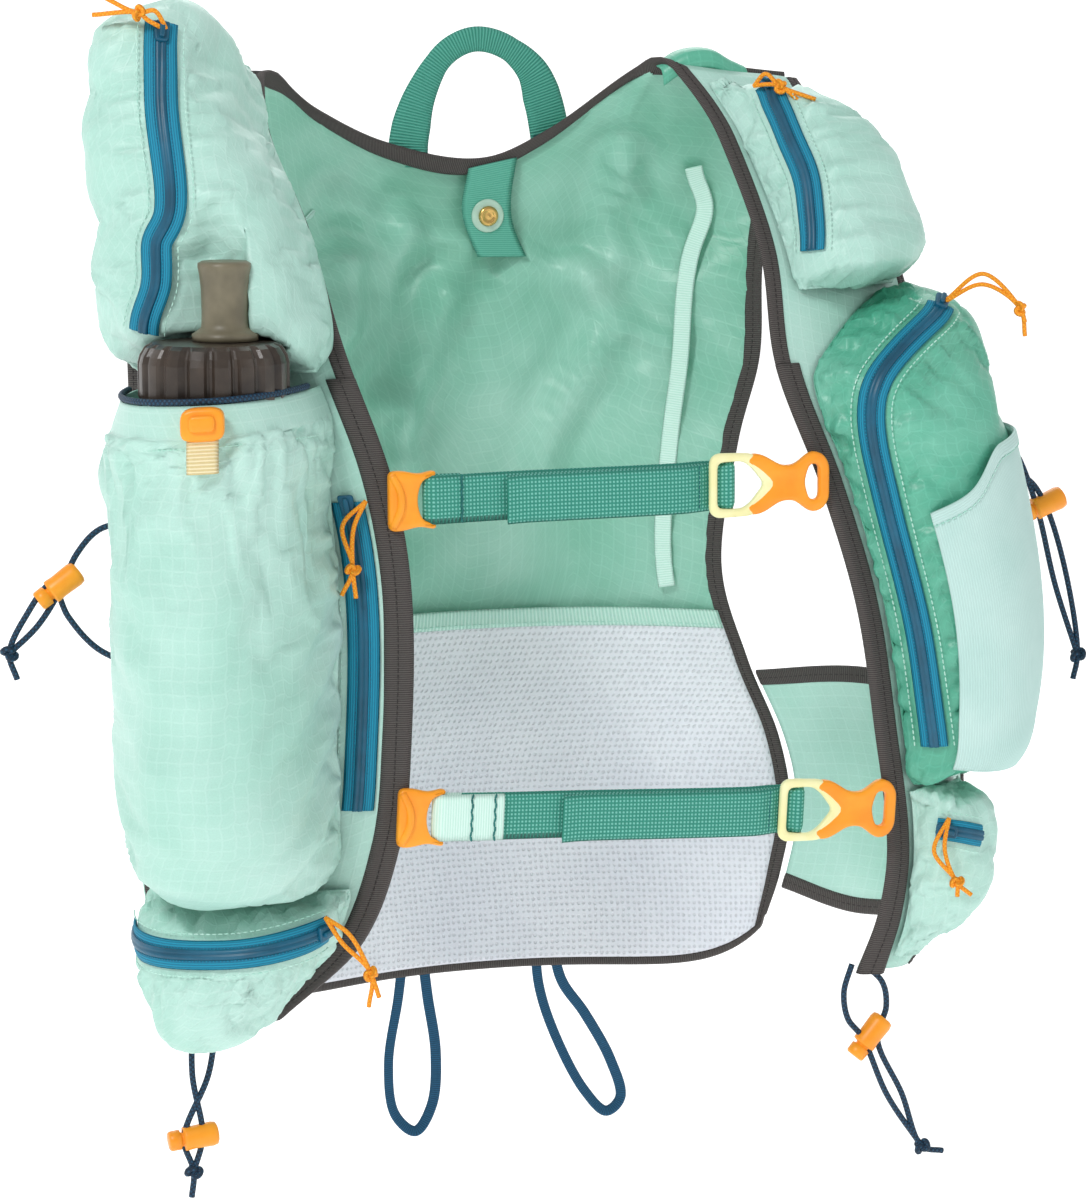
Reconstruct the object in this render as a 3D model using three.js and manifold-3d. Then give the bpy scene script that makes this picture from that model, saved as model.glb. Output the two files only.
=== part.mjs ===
// Running hydration vest: two front panels with pockets, a back panel with a low bag behind it,
// waist wings, sternum straps, a soft bottle and four drawcords.
// X runs to the wearer's left, Y to the back, Z up; the origin lies between the shoulders.
import * as THREE from "three";
import { mergeVertices } from "three/addons/utils/BufferGeometryUtils.js";
import Module from "manifold-3d";

const wasm = await Module();
wasm.setup();

// Body sizes in millimetres that the shares in the tables multiply
const chestHalf = 140;
const chestDepth = 100;
const vestDrop = 400;

// Cloth and trim
const clothWall = 1.2;
const pocketWall = 1.2;
const panelBow = 8;
const railWidth = 12;
const neckWidth = 8;
const edgeWidth = 8;
const bindingWall = 2.8;
const zipWidth = 13.5;
const smallZipWidth = 12;
const zipWall = 1.2;
const zipStand = 0.7; // a zip's clearance over the pocket's cloth
const seat = 0.35; // clearance between pieces that touch
const meshTop = 0.56; // share of the back's sections where the mesh begins
const bagDepth = 38;

// Webbing and buckles
const strapWidth = 20;
const strapWall = 1.6;
const buckleWall = 4.5;
const sliderWall = 2.4;
const loopWebWidth = 19;
const loopFoldWidth = 12;
const loopWall = 2;
const poleWebWidth = 5;
const poleWebWall = 1;
const tabWidth = 22;
const tabWall = 1;
const snapRadius = 7.5;
const snapHeight = 2.4;
const tapeWidth = 8;
const tapeWall = 0.8;
const tapeStand = 2; // the tape's clearance over the back cloth

// Bottle
const bottleRadius = 28;
const bottleHeight = 150;
const capRadius = 30;
const capHeight = 24;
const valveRadius = 10.5;
const valveHeight = 31;

// Cords
const cordDiameter = 2.6;
const pullDiameter = 2.2;
const knotRadius = 3.4;
const toggleLength = 21;
const toggleRadius = 5;

// Colours
const cloth = (color, roughness = 0.75) => new THREE.MeshStandardMaterial({ color, roughness,
  metalness: 0 });
const mintCloth = cloth("#b9e2d3");
const innerCloth = cloth("#8cc4b0");
const sideCloth = cloth("#72bda3");
const stretchCloth = cloth("#c6e3dc");
const whiteMesh = cloth("#d8dbe3");
const paleTape = cloth("#cdebdf");
const binding = cloth("#5a5250", 0.9);
const zipTape = cloth("#1d7a93", 0.6);
const webbing = cloth("#3f9e88", 0.8);
const poleWebbing = cloth("#1b5f82", 0.8);
const navyCord = cloth("#143b58", 0.7);
const orangeCord = cloth("#f8a11b", 0.6);
const orangePlastic = cloth("#f79c16", 0.4);
const creamPlastic = cloth("#f3edb8", 0.4);
const smokedPlastic = cloth("#3b332c", 0.3);
const valvePlastic = cloth("#827a68", 0.4);
const brass = new THREE.MeshStandardMaterial({ color: "#d9b06a", roughness: 0.3, metalness: 0.9 });

// Front panel sections from the shoulder down. drop is the inner edge's height, as a share of vestDrop;
// x and y are shares of chestHalf and chestDepth, and outDrop is the outer edge's height.
const rightRows = [
  { drop: 0.022, inX: -0.81, inY: 0.36, outX: -1.23, outY: 0.4, outDrop: 0.05 },
  { drop: 0.087, inX: -0.87, inY: -0.08, outX: -1.28, outY: 0.22, outDrop: 0.12 },
  { drop: 0.178, inX: -0.82, inY: -0.42, outX: -1.3, outY: 0.04, outDrop: 0.2 },
  { drop: 0.298, inX: -0.758, inY: -0.64, outX: -1.31, outY: -0.06, outDrop: 0.31 },
  { drop: 0.434, inX: -0.64, inY: -0.77, outX: -1.31, outY: -0.12, outDrop: 0.45 },
  { drop: 0.552, inX: -0.596, inY: -0.83, outX: -1.3, outY: -0.16, outDrop: 0.565 },
  { drop: 0.716, inX: -0.607, inY: -0.85, outX: -1.3, outY: -0.18, outDrop: 0.72 },
  { drop: 0.806, inX: -0.63, inY: -0.81, outX: -1.315, outY: -0.18, outDrop: 0.815 },
  { drop: 0.917, inX: -0.732, inY: -0.71, outX: -1.28, outY: -0.2, outDrop: 0.93 },
  { drop: 0.995, inX: -0.95, inY: -0.6, outX: -1.22, outY: -0.3, outDrop: 1.01 },
];
const leftRows = [
  { drop: 0.012, inX: 0.48, inY: 0.4, outX: 0.93, outY: 0.44, outDrop: 0.03 },
  { drop: 0.058, inX: 0.543, inY: 0.2, outX: 0.99, outY: 0.3, outDrop: 0.075 },
  { drop: 0.097, inX: 0.562, inY: 0, outX: 1.04, outY: 0.16, outDrop: 0.115 },
  { drop: 0.213, inX: 0.58, inY: -0.44, outX: 1.13, outY: -0.06, outDrop: 0.215 },
  { drop: 0.33, inX: 0.571, inY: -0.67, outX: 1.19, outY: -0.2, outDrop: 0.33 },
  { drop: 0.455, inX: 0.686, inY: -0.79, outX: 1.23, outY: -0.27, outDrop: 0.455 },
  { drop: 0.583, inX: 0.793, inY: -0.84, outX: 1.27, outY: -0.3, outDrop: 0.583 },
  { drop: 0.713, inX: 0.857, inY: -0.84, outX: 1.3, outY: -0.32, outDrop: 0.713 },
  { drop: 0.848, inX: 0.92, inY: -0.79, outX: 1.31, outY: -0.35, outDrop: 0.85 },
  { drop: 0.928, inX: 0.907, inY: -0.73, outX: 1.24, outY: -0.43, outDrop: 0.935 },
  { drop: 0.998, inX: 0.85, inY: -0.65, outX: 1.06, outY: -0.55, outDrop: 1 },
];

// Back sections below the neckline: x centre and half width, y at the centre and at the sides, and
// the heights of the centre and the sides.
const backRows = [
  { midX: -0.057, half: 1, midY: 0.97, sideY: 0.66, midDrop: 0.19, sideDrop: 0.15 },
  { midX: -0.014, half: 0.91, midY: 0.98, sideY: 0.62, midDrop: 0.26, sideDrop: 0.25 },
  { midX: 0, half: 0.879, midY: 0.99, sideY: 0.58, midDrop: 0.35, sideDrop: 0.35 },
  { midX: 0, half: 0.814, midY: 1, sideY: 0.62, midDrop: 0.45, sideDrop: 0.45 },
  { midX: 0, half: 0.768, midY: 1.01, sideY: 0.66, midDrop: 0.59, sideDrop: 0.59 },
  { midX: 0, half: 0.85, midY: 1.03, sideY: 0.6, midDrop: 0.7, sideDrop: 0.7 },
  { midX: 0, half: 0.94, midY: 1.04, sideY: 0.5, midDrop: 0.787, sideDrop: 0.787 },
  { midX: 0, half: 0.975, midY: 1.05, sideY: 0.45, midDrop: 0.875, sideDrop: 0.87 },
  { midX: 0, half: 0.95, midY: 1.07, sideY: 0.48, midDrop: 0.975, sideDrop: 0.945 },
  { midX: 0, half: 0.91, midY: 1.08, sideY: 0.52, midDrop: 1.075, sideDrop: 1 },
];
// The back's top edge: the neckline, and at its ends the shoulder seams.
const topRows = [
  { s: -1, x: -1.23, y: 0.43, drop: 0.052 },
  { s: -0.6, x: -0.81, y: 0.39, drop: 0.024 },
  { s: -0.45, x: -0.6, y: 0.65, drop: 0.066 },
  { s: -0.25, x: -0.33, y: 0.86, drop: 0.106 },
  { s: 0, x: 0, y: 0.95, drop: 0.126 },
  { s: 0.2, x: 0.22, y: 0.86, drop: 0.092 },
  { s: 0.36, x: 0.42, y: 0.58, drop: 0.028 },
  { s: 0.45, x: 0.48, y: 0.43, drop: 0.014 },
  { s: 1, x: 0.93, y: 0.47, drop: 0.032 },
];
// The waist wings' two middle columns, from the back to the front: how far out on each side, y, and
// the heights of their top and bottom.
const wingRows = [
  { right: 1.06, left: 1.12, y: 0.22, top: 0.7, bottom: 0.985 },
  { right: 1.25, left: 1.37, y: -0.04, top: 0.715, bottom: 0.98 },
];

const lerp = THREE.MathUtils.lerp;
const vec = (x, y, z) => new THREE.Vector3(x, y, z);
const fromShares = (x, y, drop) => vec(x * chestHalf, y * chestDepth, -drop * vestDrop);

// A smooth value between the rows of a table: cubic pieces whose slope at a row is its neighbours' slope.
function smooth(rows, key, column) {
  const knots = rows.map((row) => row[key]);
  const values = rows.map((row) => row[column]);
  const last = knots.length - 1;
  const slopes = knots.map((_, i) => {
    const a = Math.max(i - 1, 0);
    const b = Math.min(i + 1, last);
    return (values[b] - values[a]) / (knots[b] - knots[a]);
  });
  return (x) => {
    let i = 0;
    while (i < last - 1 && x > knots[i + 1]) i++;
    const span = knots[i + 1] - knots[i];
    const t = (x - knots[i]) / span;
    const bend = t * t * (3 - 2 * t);
    const rise = t * (1 - t) * (1 - t) * slopes[i] * span;
    const fall = t * t * (t - 1) * slopes[i + 1] * span;
    return lerp(values[i], values[i + 1], bend) + rise + fall;
  };
}

function smoothAll(rows, key) {
  const columns = Object.keys(rows[0]).filter((name) => name !== key);
  const parts = columns.map((name) => [name, smooth(rows, key, name)]);
  return (x) => Object.fromEntries(parts.map(([name, value]) => [name, value(x)]));
}

// The front panel's surface: the point at a height on the inner edge and across millimetres from it.
function panelSurface(rows) {
  const section = smoothAll(rows, "drop");
  return (drop, across) => {
    const row = section(drop);
    const inner = fromShares(row.inX, row.inY, drop);
    const outer = fromShares(row.outX, row.outY, row.outDrop);
    const width = inner.distanceTo(outer);
    const share = across / width;
    const chord = outer.clone().sub(inner);
    const outward = vec(chord.y, -chord.x, 0).normalize();
    if (outward.y > 0) outward.negate();
    return inner.addScaledVector(chord, share).addScaledVector(outward, panelBow * 4 * share * (1 - share));
  };
}

function panelWidth(rows) {
  const section = smoothAll(rows, "drop");
  return (drop) => {
    const row = section(drop);
    return fromShares(row.inX, row.inY, drop).distanceTo(fromShares(row.outX, row.outY, row.outDrop));
  };
}

// The back's surface: s runs from the right side (-1) to the left (1), v from the top edge (0) to
// the hem (1).
function backSection(s, k) {
  const sidePower = 2.2;
  const cornerPower = 8;
  const row = backRows[k];
  const side = Math.abs(s) ** sidePower;
  const corner = Math.abs(s) ** (k === backRows.length - 1 ? cornerPower : sidePower);
  const y = lerp(row.midY, row.sideY, side);
  return fromShares(row.midX + s * row.half, y, lerp(row.midDrop, row.sideDrop, corner));
}
const topEdge = smoothAll(topRows, "s");
function backSurface(s, v) {
  const top = topEdge(s);
  const stations = [fromShares(top.x, top.y, top.drop)];
  for (let k = 0; k < backRows.length; k++) stations.push(backSection(s, k));
  const rows = stations.map((p, k) => ({ k, x: p.x, y: p.y, z: p.z }));
  const at = smoothAll(rows, "k")(v * backRows.length);
  return vec(at.x, at.y, at.z);
}

// The parameter along a line of a surface that lies a distance from its start.
function paramAt(line, start, end, distance) {
  const from = line(start);
  let low = start;
  let high = end;
  for (let i = 0; i < 24; i++) {
    const mid = (low + high) / 2;
    if (line(mid).distanceTo(from) < distance) low = mid;
    else high = mid;
  }
  return low;
}

function solidOf(positions, index) {
  let geometry = new THREE.BufferGeometry();
  geometry.setAttribute("position", new THREE.Float32BufferAttribute(positions, 3));
  geometry.setIndex(index);
  return solidFrom(geometry);
}

// A closed geometry as a manifold solid, its faces turned outwards.
function solidFrom(source) {
  let geometry = source.clone();
  geometry.deleteAttribute("normal");
  geometry.deleteAttribute("uv");
  geometry = mergeVertices(geometry, 1e-4);
  const vertProperties = new Float32Array(geometry.attributes.position.array);
  const triVerts = new Uint32Array(geometry.index.array);
  let volume = 0;
  const corner = (i) => vec(...vertProperties.slice(3 * triVerts[i], 3 * triVerts[i] + 3));
  for (let i = 0; i < triVerts.length; i += 3) {
    volume += corner(i).dot(corner(i + 1).cross(corner(i + 2)));
  }
  if (volume < 0) {
    for (let i = 0; i < triVerts.length; i += 3) {
      [triVerts[i + 1], triVerts[i + 2]] = [triVerts[i + 2], triVerts[i + 1]];
    }
  }
  return new wasm.Manifold(new wasm.Mesh({ numProp: 3, vertProperties, triVerts }));
}

// The unit normal of a surface at a parameter pair, from steps that stay inside the surface.
function normalAt(point, u, v) {
  const step = 2e-3;
  const u0 = Math.max(u - step, 0);
  const u1 = Math.min(u + step, 1);
  const v0 = Math.max(v - step, 0);
  const v1 = Math.min(v + step, 1);
  const du = point(u1, v).sub(point(u0, v));
  const dv = point(u, v1).sub(point(u, v0));
  return du.cross(dv).normalize();
}

// A closed wall over a surface: low and high are how far its two faces lie from it along the normal.
function wall(point, uSteps, vSteps, low, high) {
  const positions = [];
  const index = [];
  const layerSize = (uSteps + 1) * (vSteps + 1);
  for (const offset of [low, high]) {
    for (let i = 0; i <= uSteps; i++) {
      for (let j = 0; j <= vSteps; j++) {
        const u = i / uSteps;
        const v = j / vSteps;
        const p = point(u, v).addScaledVector(normalAt(point, u, v), offset);
        positions.push(p.x, p.y, p.z);
      }
    }
  }
  const id = (layer, i, j) => layer * layerSize + i * (vSteps + 1) + j;
  const quad = (a, b, c, d) => index.push(a, b, c, a, c, d);
  for (let i = 0; i < uSteps; i++) {
    for (let j = 0; j < vSteps; j++) {
      quad(id(0, i, j), id(0, i + 1, j), id(0, i + 1, j + 1), id(0, i, j + 1));
      quad(id(1, i, j), id(1, i, j + 1), id(1, i + 1, j + 1), id(1, i + 1, j));
    }
  }
  for (let i = 0; i < uSteps; i++) {
    quad(id(0, i, 0), id(1, i, 0), id(1, i + 1, 0), id(0, i + 1, 0));
    quad(id(0, i, vSteps), id(0, i + 1, vSteps), id(1, i + 1, vSteps), id(1, i, vSteps));
  }
  for (let j = 0; j < vSteps; j++) {
    quad(id(0, 0, j), id(0, 0, j + 1), id(1, 0, j + 1), id(1, 0, j));
    quad(id(0, uSteps, j), id(1, uSteps, j), id(1, uSteps, j + 1), id(0, uSteps, j + 1));
  }
  return solidOf(positions, index);
}

// A flat band along frames { point, across, normal, width, thick }, centred on the point.
function band(frames, grow = 0) {
  const positions = [];
  const index = [];
  const corners = [[-1, -1], [1, -1], [1, 1], [-1, 1]];
  for (const frame of frames) {
    for (const [a, n] of corners) {
      const p = frame.point.clone();
      p.addScaledVector(frame.across, a * (frame.width / 2 + grow));
      p.addScaledVector(frame.normal, n * (frame.thick / 2 + grow));
      positions.push(p.x, p.y, p.z);
    }
  }
  for (let k = 0; k < frames.length - 1; k++) {
    for (let c = 0; c < 4; c++) {
      const a = 4 * k + c;
      const b = 4 * k + ((c + 1) % 4);
      index.push(a, b, b + 4, a, b + 4, a + 4);
    }
  }
  const end = 4 * (frames.length - 1);
  index.push(0, 2, 1, 0, 3, 2, end, end + 1, end + 2, end, end + 2, end + 3);
  return solidOf(positions, index);
}

// Frames along a line of a surface: across lies in the surface, and lift is off it along the normal.
function surfaceFrames(point, path, steps, width, thick, lift) {
  const step = 1e-3;
  const frames = [];
  for (let k = 0; k <= steps; k++) {
    const t = k / steps;
    const [u, v] = path(t);
    const [u0, v0] = path(Math.max(t - step, 0));
    const [u1, v1] = path(Math.min(t + step, 1));
    const along = point(u1, v1).sub(point(u0, v0)).normalize();
    const normal = outNormal(point, u, v);
    const across = along.clone().cross(normal).normalize();
    const centre = point(u, v).addScaledVector(normal, lift);
    frames.push({ point: centre, across, normal, width, thick });
  }
  return frames;
}
// Away from the body's upright axis.
const outwardHint = (p) => vec(p.x, p.y, 0).normalize();
// A surface's normal, turned the way that points off the body at the surface's middle.
function outNormal(point, u, v) {
  const middle = normalAt(point, 0.5, 0.5);
  const normal = normalAt(point, u, v);
  return middle.dot(outwardHint(point(0.5, 0.5))) < 0 ? normal.negate() : normal;
}

// Frames of a free band: a smooth line through points, its flat side facing a given way.
function bandFrames(points, facing, steps, width, thick) {
  const curve = new THREE.CatmullRomCurve3(points, false, "centripetal");
  const frames = [];
  for (let k = 0; k <= steps; k++) {
    const t = k / steps;
    const along = curve.getTangent(t);
    const normal = facing.clone().addScaledVector(along, -facing.dot(along)).normalize();
    const across = along.clone().cross(normal).normalize();
    const at = (value) => (typeof value === "function" ? value(t) : value);
    frames.push({ point: curve.getPoint(t), across, normal, width: at(width), thick: at(thick) });
  }
  return frames;
}

function tube(points, diameter, steps, sides = 8) {
  const shape = new THREE.Shape();
  for (let k = 0; k < sides; k++) {
    const angle = (2 * Math.PI * k) / sides;
    const x = (diameter / 2) * Math.cos(angle);
    const y = (diameter / 2) * Math.sin(angle);
    if (k === 0) shape.moveTo(x, y);
    else shape.lineTo(x, y);
  }
  const extrudePath = new THREE.CatmullRomCurve3(points, false, "centripetal");
  return solidFrom(new THREE.ExtrudeGeometry(shape, { steps, extrudePath, bevelEnabled: false }));
}

function ball(centre, radius, stretch = vec(1, 1, 1)) {
  const geometry = new THREE.SphereGeometry(radius, 6, 4);
  geometry.scale(stretch.x, stretch.y, stretch.z);
  geometry.translate(centre.x, centre.y, centre.z);
  return solidFrom(geometry);
}

function lathe(profile, sides, place) {
  const points = profile.map(([r, z]) => new THREE.Vector2(r, z));
  const geometry = new THREE.LatheGeometry(points, sides);
  geometry.rotateX(Math.PI / 2);
  geometry.applyMatrix4(place);
  return solidFrom(geometry);
}

// A flat outline with holes, made into a plate that stands on place's XY plane.
function plate(outline, holes, thick, place) {
  const shape = new THREE.Shape(outline.map(([x, y]) => new THREE.Vector2(x, y)));
  for (const hole of holes) shape.holes.push(new THREE.Path(hole.map(([x, y]) => new THREE.Vector2(x, y))));
  const geometry = new THREE.ExtrudeGeometry(shape, { depth: thick, bevelEnabled: false });
  geometry.applyMatrix4(place);
  return solidFrom(geometry);
}

// A frame whose x and y axes and origin are given; its z axis follows.
function placeAt(origin, xAxis, yAxis) {
  const x = xAxis.clone().normalize();
  const z = x.clone().cross(yAxis).normalize();
  const y = z.clone().cross(x);
  return new THREE.Matrix4().makeBasis(x, y, z).setPosition(origin);
}

const vest = new THREE.Group();
const cutters = new Map();

// Adds a piece: make(grow) gives its solid, and the pieces named in clearOf are cut out of it,
// grown by seat.
function addPiece(name, material, make, clearOf = []) {
  cutters.set(name, make);
  let solid = make(0);
  for (const other of clearOf) solid = solid.subtract(cutters.get(other)(seat));
  const bodies = solid.decompose();
  bodies.sort((a, b) => b.volume() - a.volume());
  const mesh = bodies[0].getMesh();
  const geometry = new THREE.BufferGeometry();
  geometry.setAttribute("position", new THREE.BufferAttribute(new Float32Array(mesh.vertProperties), 3));
  geometry.setIndex(new THREE.BufferAttribute(new Uint32Array(mesh.triVerts), 1));
  geometry.computeVertexNormals();
  const piece = new THREE.Mesh(geometry, material);
  piece.name = name;
  vest.add(piece);
}

const panels = {
  right: { point: panelSurface(rightRows), width: panelWidth(rightRows), rows: rightRows },
  left: { point: panelSurface(leftRows), width: panelWidth(leftRows), rows: leftRows },
};
const firstDrop = (panel) => panel.rows[0].drop;
const lastDrop = (panel) => panel.rows[panel.rows.length - 1].drop;

// Where the rails begin on the front panels, and where the neckline meets the shoulder seams
const railTop = 0.33;
const neckEnd = { right: -0.6, left: 0.45 };
const sideSign = { right: -1, left: 1 };
const seamInset = (2 * seat) / vestDrop;
// The front pieces share these heights: some steps above the rail's top, and twice as many below it
const neckSteps = 5;
const railSteps = 10;
function levelAt(panel, v) {
  const start = firstDrop(panel) + seamInset / 2;
  return v < 1 / 3 ? lerp(start, railTop, 3 * v) : lerp(railTop, lastDrop(panel), (3 * v - 1) / 2);
}
const neckInset = (s, width) => paramAt((v) => backSurface(s, v), 0, 0.2, width);

// The neck edge: a strip down each front panel above its rail, and one along the neckline between them
addPiece("neck_binding", binding, (grow) => {
  const half = bindingWall / 2 + grow;
  const past = 0.04 + grow / chestHalf;
  const overSeam = 4;
  const back = (u, v) => {
    const s = lerp(neckEnd.right - past, neckEnd.left + past, u);
    return backSurface(s, v * neckInset(s, neckWidth + grow));
  };
  let solid = wall(back, 12, 1, -half, half);
  for (const [side, panel] of Object.entries(panels)) {
    const end = neckEnd[side];
    const shoulder = backSurface(end, 0).distanceTo(backSurface(sideSign[side], 0));
    const front = (u, v) => {
      const across = lerp(-grow, railWidth + grow, u);
      const step = v * (neckSteps + 1) - 1;
      const last = Math.max(0, step + 1 - neckSteps);
      const level = levelAt(panel, Math.max(step, 0) / (3 * neckSteps)) - last * seamInset;
      const point = panel.point(level, across);
      if (step >= 0) return point;
      const s = end + ((sideSign[side] - end) * across) / shoulder;
      return point.lerp(backSurface(s, neckInset(s, overSeam + grow)), -step);
    };
    solid = solid.add(wall(front, 1, neckSteps + 1, -half, half));
  }
  return solid;
});

// Back: cloth above, mesh below, bindings round them
// One binding round the back's sides and hem
addPiece("back_binding", binding, (grow) => {
  const half = bindingWall / 2 + grow;
  const inner = (v) => 1 - (edgeWidth + grow) / backSurface(1, v).distanceTo(backSurface(0, v));
  const side = (sign) => (u, v) => {
    const row = lerp(2 * seamInset, 1, v);
    return backSurface(sign * lerp(inner(row), 1, u), row);
  };
  const hem = (u, v) => {
    const s = lerp(-1, 1, u);
    const start = 1 - paramAt((t) => backSurface(s, 1 - t), 0, 0.1, edgeWidth + grow);
    return backSurface(s, lerp(start, 1, v));
  };
  const sides = wall(side(-1), 1, 13, -half, half).add(wall(side(1), 1, 13, -half, half));
  return sides.add(wall(hem, 14, 1, -half, half));
});

const sideInset = (v) => (edgeWidth + 3 * seat) / backSurface(1, v).distanceTo(backSurface(0, v));
const hemInset = (s) => 1 - paramAt((v) => backSurface(s, 1 - v), 0, 0.1, edgeWidth + 3 * seat);
function backPatch(top, bottom) {
  return (u, v) => {
    const s = lerp(-1, 1, u);
    const row = lerp(top(s), bottom(s), v);
    return backSurface(s * (1 - sideInset(row)), row);
  };
}
const panelTop = (s) => {
  const inset = neckInset(s, neckWidth + 3 * seat);
  if (s > neckEnd.right && s < neckEnd.left) return inset;
  const past = Math.min(Math.abs(s < 0 ? s - neckEnd.right : s - neckEnd.left) / 0.08, 1);
  return lerp(inset, seamInset, past);
};
addPiece("back_panel", innerCloth, () => {
  return wall(backPatch(panelTop, () => meshTop), 14, 8, -clothWall / 2, clothWall / 2);
}, ["neck_binding"]);
const meshGap = (2 * seat) / vestDrop;
addPiece("back_mesh_panel", whiteMesh, () => {
  return wall(backPatch(() => meshTop + meshGap, hemInset), 12, 6, -clothWall / 2, clothWall / 2);
});
// A waist wing's surface: a runs from the back (0) to the front (1), b from its top (0) to its bottom (1)
const wingTop = 0.715;
const wingBottom = 0.965;
const wingHeight = (wingBottom - wingTop) * vestDrop;
const backOuter = (sign, drop) => {
  let low = 0.4;
  let high = 1;
  for (let i = 0; i < 24; i++) {
    const mid = (low + high) / 2;
    if (backSurface(sign, mid).z > -drop * vestDrop) low = mid;
    else high = mid;
  }
  return backSurface(sign, low);
};
function wingSurface(side, frontGap) {
  const panel = panels[side];
  const sign = sideSign[side];
  return (a, b) => {
    const drop = lerp(wingTop, wingBottom, b);
    const back = backOuter(sign, drop);
    const front = panel.point(drop, panel.width(drop));
    const middle = wingRows.map((row) => fromShares(sign * row[side], row.y, lerp(row.top, row.bottom, b)));
    const ends = [middle[0].clone().sub(back).normalize(), middle[1].clone().sub(front).normalize()];
    back.addScaledVector(ends[0], 3 * seat);
    front.addScaledVector(ends[1], frontGap);
    return new THREE.CatmullRomCurve3([back, ...middle, front], false, "centripetal").getPoint(a);
  };
}
// Front panels, their rails along the inner edge, the neck edge above the rail and the armhole edge
for (const [side, panel] of Object.entries(panels)) {
  const strip = (from, low, high) => (u, v) => {
    const drop = levelAt(panel, lerp(from, 1, v));
    return panel.point(drop, lerp(low(drop), high(drop), u));
  };
  const half = bindingWall / 2;
  addPiece(`${side}_rail`, binding, (grow) => {
    const face = strip(1 / 3, () => -grow, () => railWidth + grow);
    return wall(face, 1, railSteps, -half - grow, half + grow);
  }, ["neck_binding"]);
  const wing = wingSurface(side, seat);
  const wingOverlap = 3;
  const wingEdge = wingSurface(side, -wingOverlap);
  addPiece(`${side}_armhole_binding`, binding, (grow) => {
    const low = (drop) => panel.width(drop) - edgeWidth - grow;
    const face = strip(0, low, (drop) => panel.width(drop) + grow);
    let solid = wall(face, 1, neckSteps + railSteps, -half - grow, half + grow);
    const edge = (edgeWidth + grow) / wingHeight;
    for (const [from, to] of [[-grow / wingHeight, edge], [1 - edge, 1 + grow / wingHeight]]) {
      const hem = (u, v) => wingEdge(u, lerp(from, to, v));
      solid = solid.add(wall(hem, 8, 1, -half - grow, half + grow));
    }
    return solid;
  }, ["back_binding"]);
  addPiece(`${side}_side_wing`, mintCloth, () => {
    const edge = (edgeWidth + 2 * seat) / wingHeight;
    const face = (u, v) => wing(u, lerp(edge, 1 - edge, v));
    return wall(face, 8, 3, -clothWall / 2, clothWall / 2);
  }, ["back_binding", `${side}_armhole_binding`]);
  addPiece(`${side}_front_panel`, mintCloth, (grow) => {
    const high = (drop) => panel.width(drop) - edgeWidth - seat;
    const face = strip(0, () => railWidth + seat, high);
    return wall(face, 4, neckSteps + railSteps, -clothWall / 2 - grow, clothWall / 2 + grow);
  });
}

// A pocket's surface over a panel: rows give its sides as shares of the panel's width and its depth as a
// share of the named depth; each section is a superellipse arch raised along lift, and up tips it upwards.
const pocketStand = 2.7; // a pocket's seams lie this far off the panel, above the bindings
function pocketSurface(panel, rows, depth, lift, boxy) {
  const section = smoothAll(rows, "drop");
  const start = rows[0].drop;
  const end = rows[rows.length - 1].drop;
  const power = 2 / boxy;
  return (s, b) => {
    const drop = lerp(start, end, b);
    const row = section(drop);
    const angle = Math.PI * (1 - s);
    const cosine = Math.cos(angle);
    const across = Math.sign(cosine) * Math.abs(cosine) ** power;
    const rise = Math.max(Math.sin(angle), 0) ** power * Math.max(row.depth, 0) * depth;
    const width = panel.width(drop);
    const place = lerp(row.from, row.to, (1 + across) / 2) * width;
    const point = panel.point(drop, place).addScaledVector(lift, pocketStand + rise);
    point.z += row.up * rise;
    return point;
  };
}
// A surface pushed in where the bottle's cap and valve stand against it.
function dented(surface, lift) {
  const gap = 1.5;
  const back = vec(lift.x, lift.y, 0).normalize();
  const side = vec(-back.y, back.x, 0);
  return (s, b) => {
    const point = surface(s, b);
    const radius = point.z < capTop + gap ? capRadius + gap : valveRadius + 2 * gap;
    if (point.z > capTop + valveHeight + gap) return point;
    const from = point.clone().sub(bottleFoot).setZ(0);
    const aside = from.dot(side);
    if (Math.abs(aside) > radius) return point;
    const excess = from.dot(back) + Math.sqrt(radius * radius - aside * aside);
    return excess > 0 ? point.addScaledVector(back, -excess) : point;
  };
}
const bunched = (x) => (1 - Math.cos(Math.PI * x)) / 2;
function pocketShell(surface, around, down, grow, spread = bunched) {
  const face = (u, v) => surface(u, spread(v));
  return wall(face, around, down, -pocketWall / 2 - grow, pocketWall / 2 + grow);
}
const pathOf = (rows) => {
  const at = smoothAll(rows.map((row, k) => ({ k, ...row })), "k");
  return (t) => {
    const row = at(t * (rows.length - 1));
    return [row.s, row.b];
  };
};
// A zip band on a pocket: it follows rows of s and b over the pocket's surface.
function zipBand(surface, rows, steps, width, grow = 0) {
  const lift = pocketWall / 2 + zipStand + zipWall / 2;
  return band(surfaceFrames(surface, pathOf(rows), steps, width, zipWall, lift), grow);
}

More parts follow.
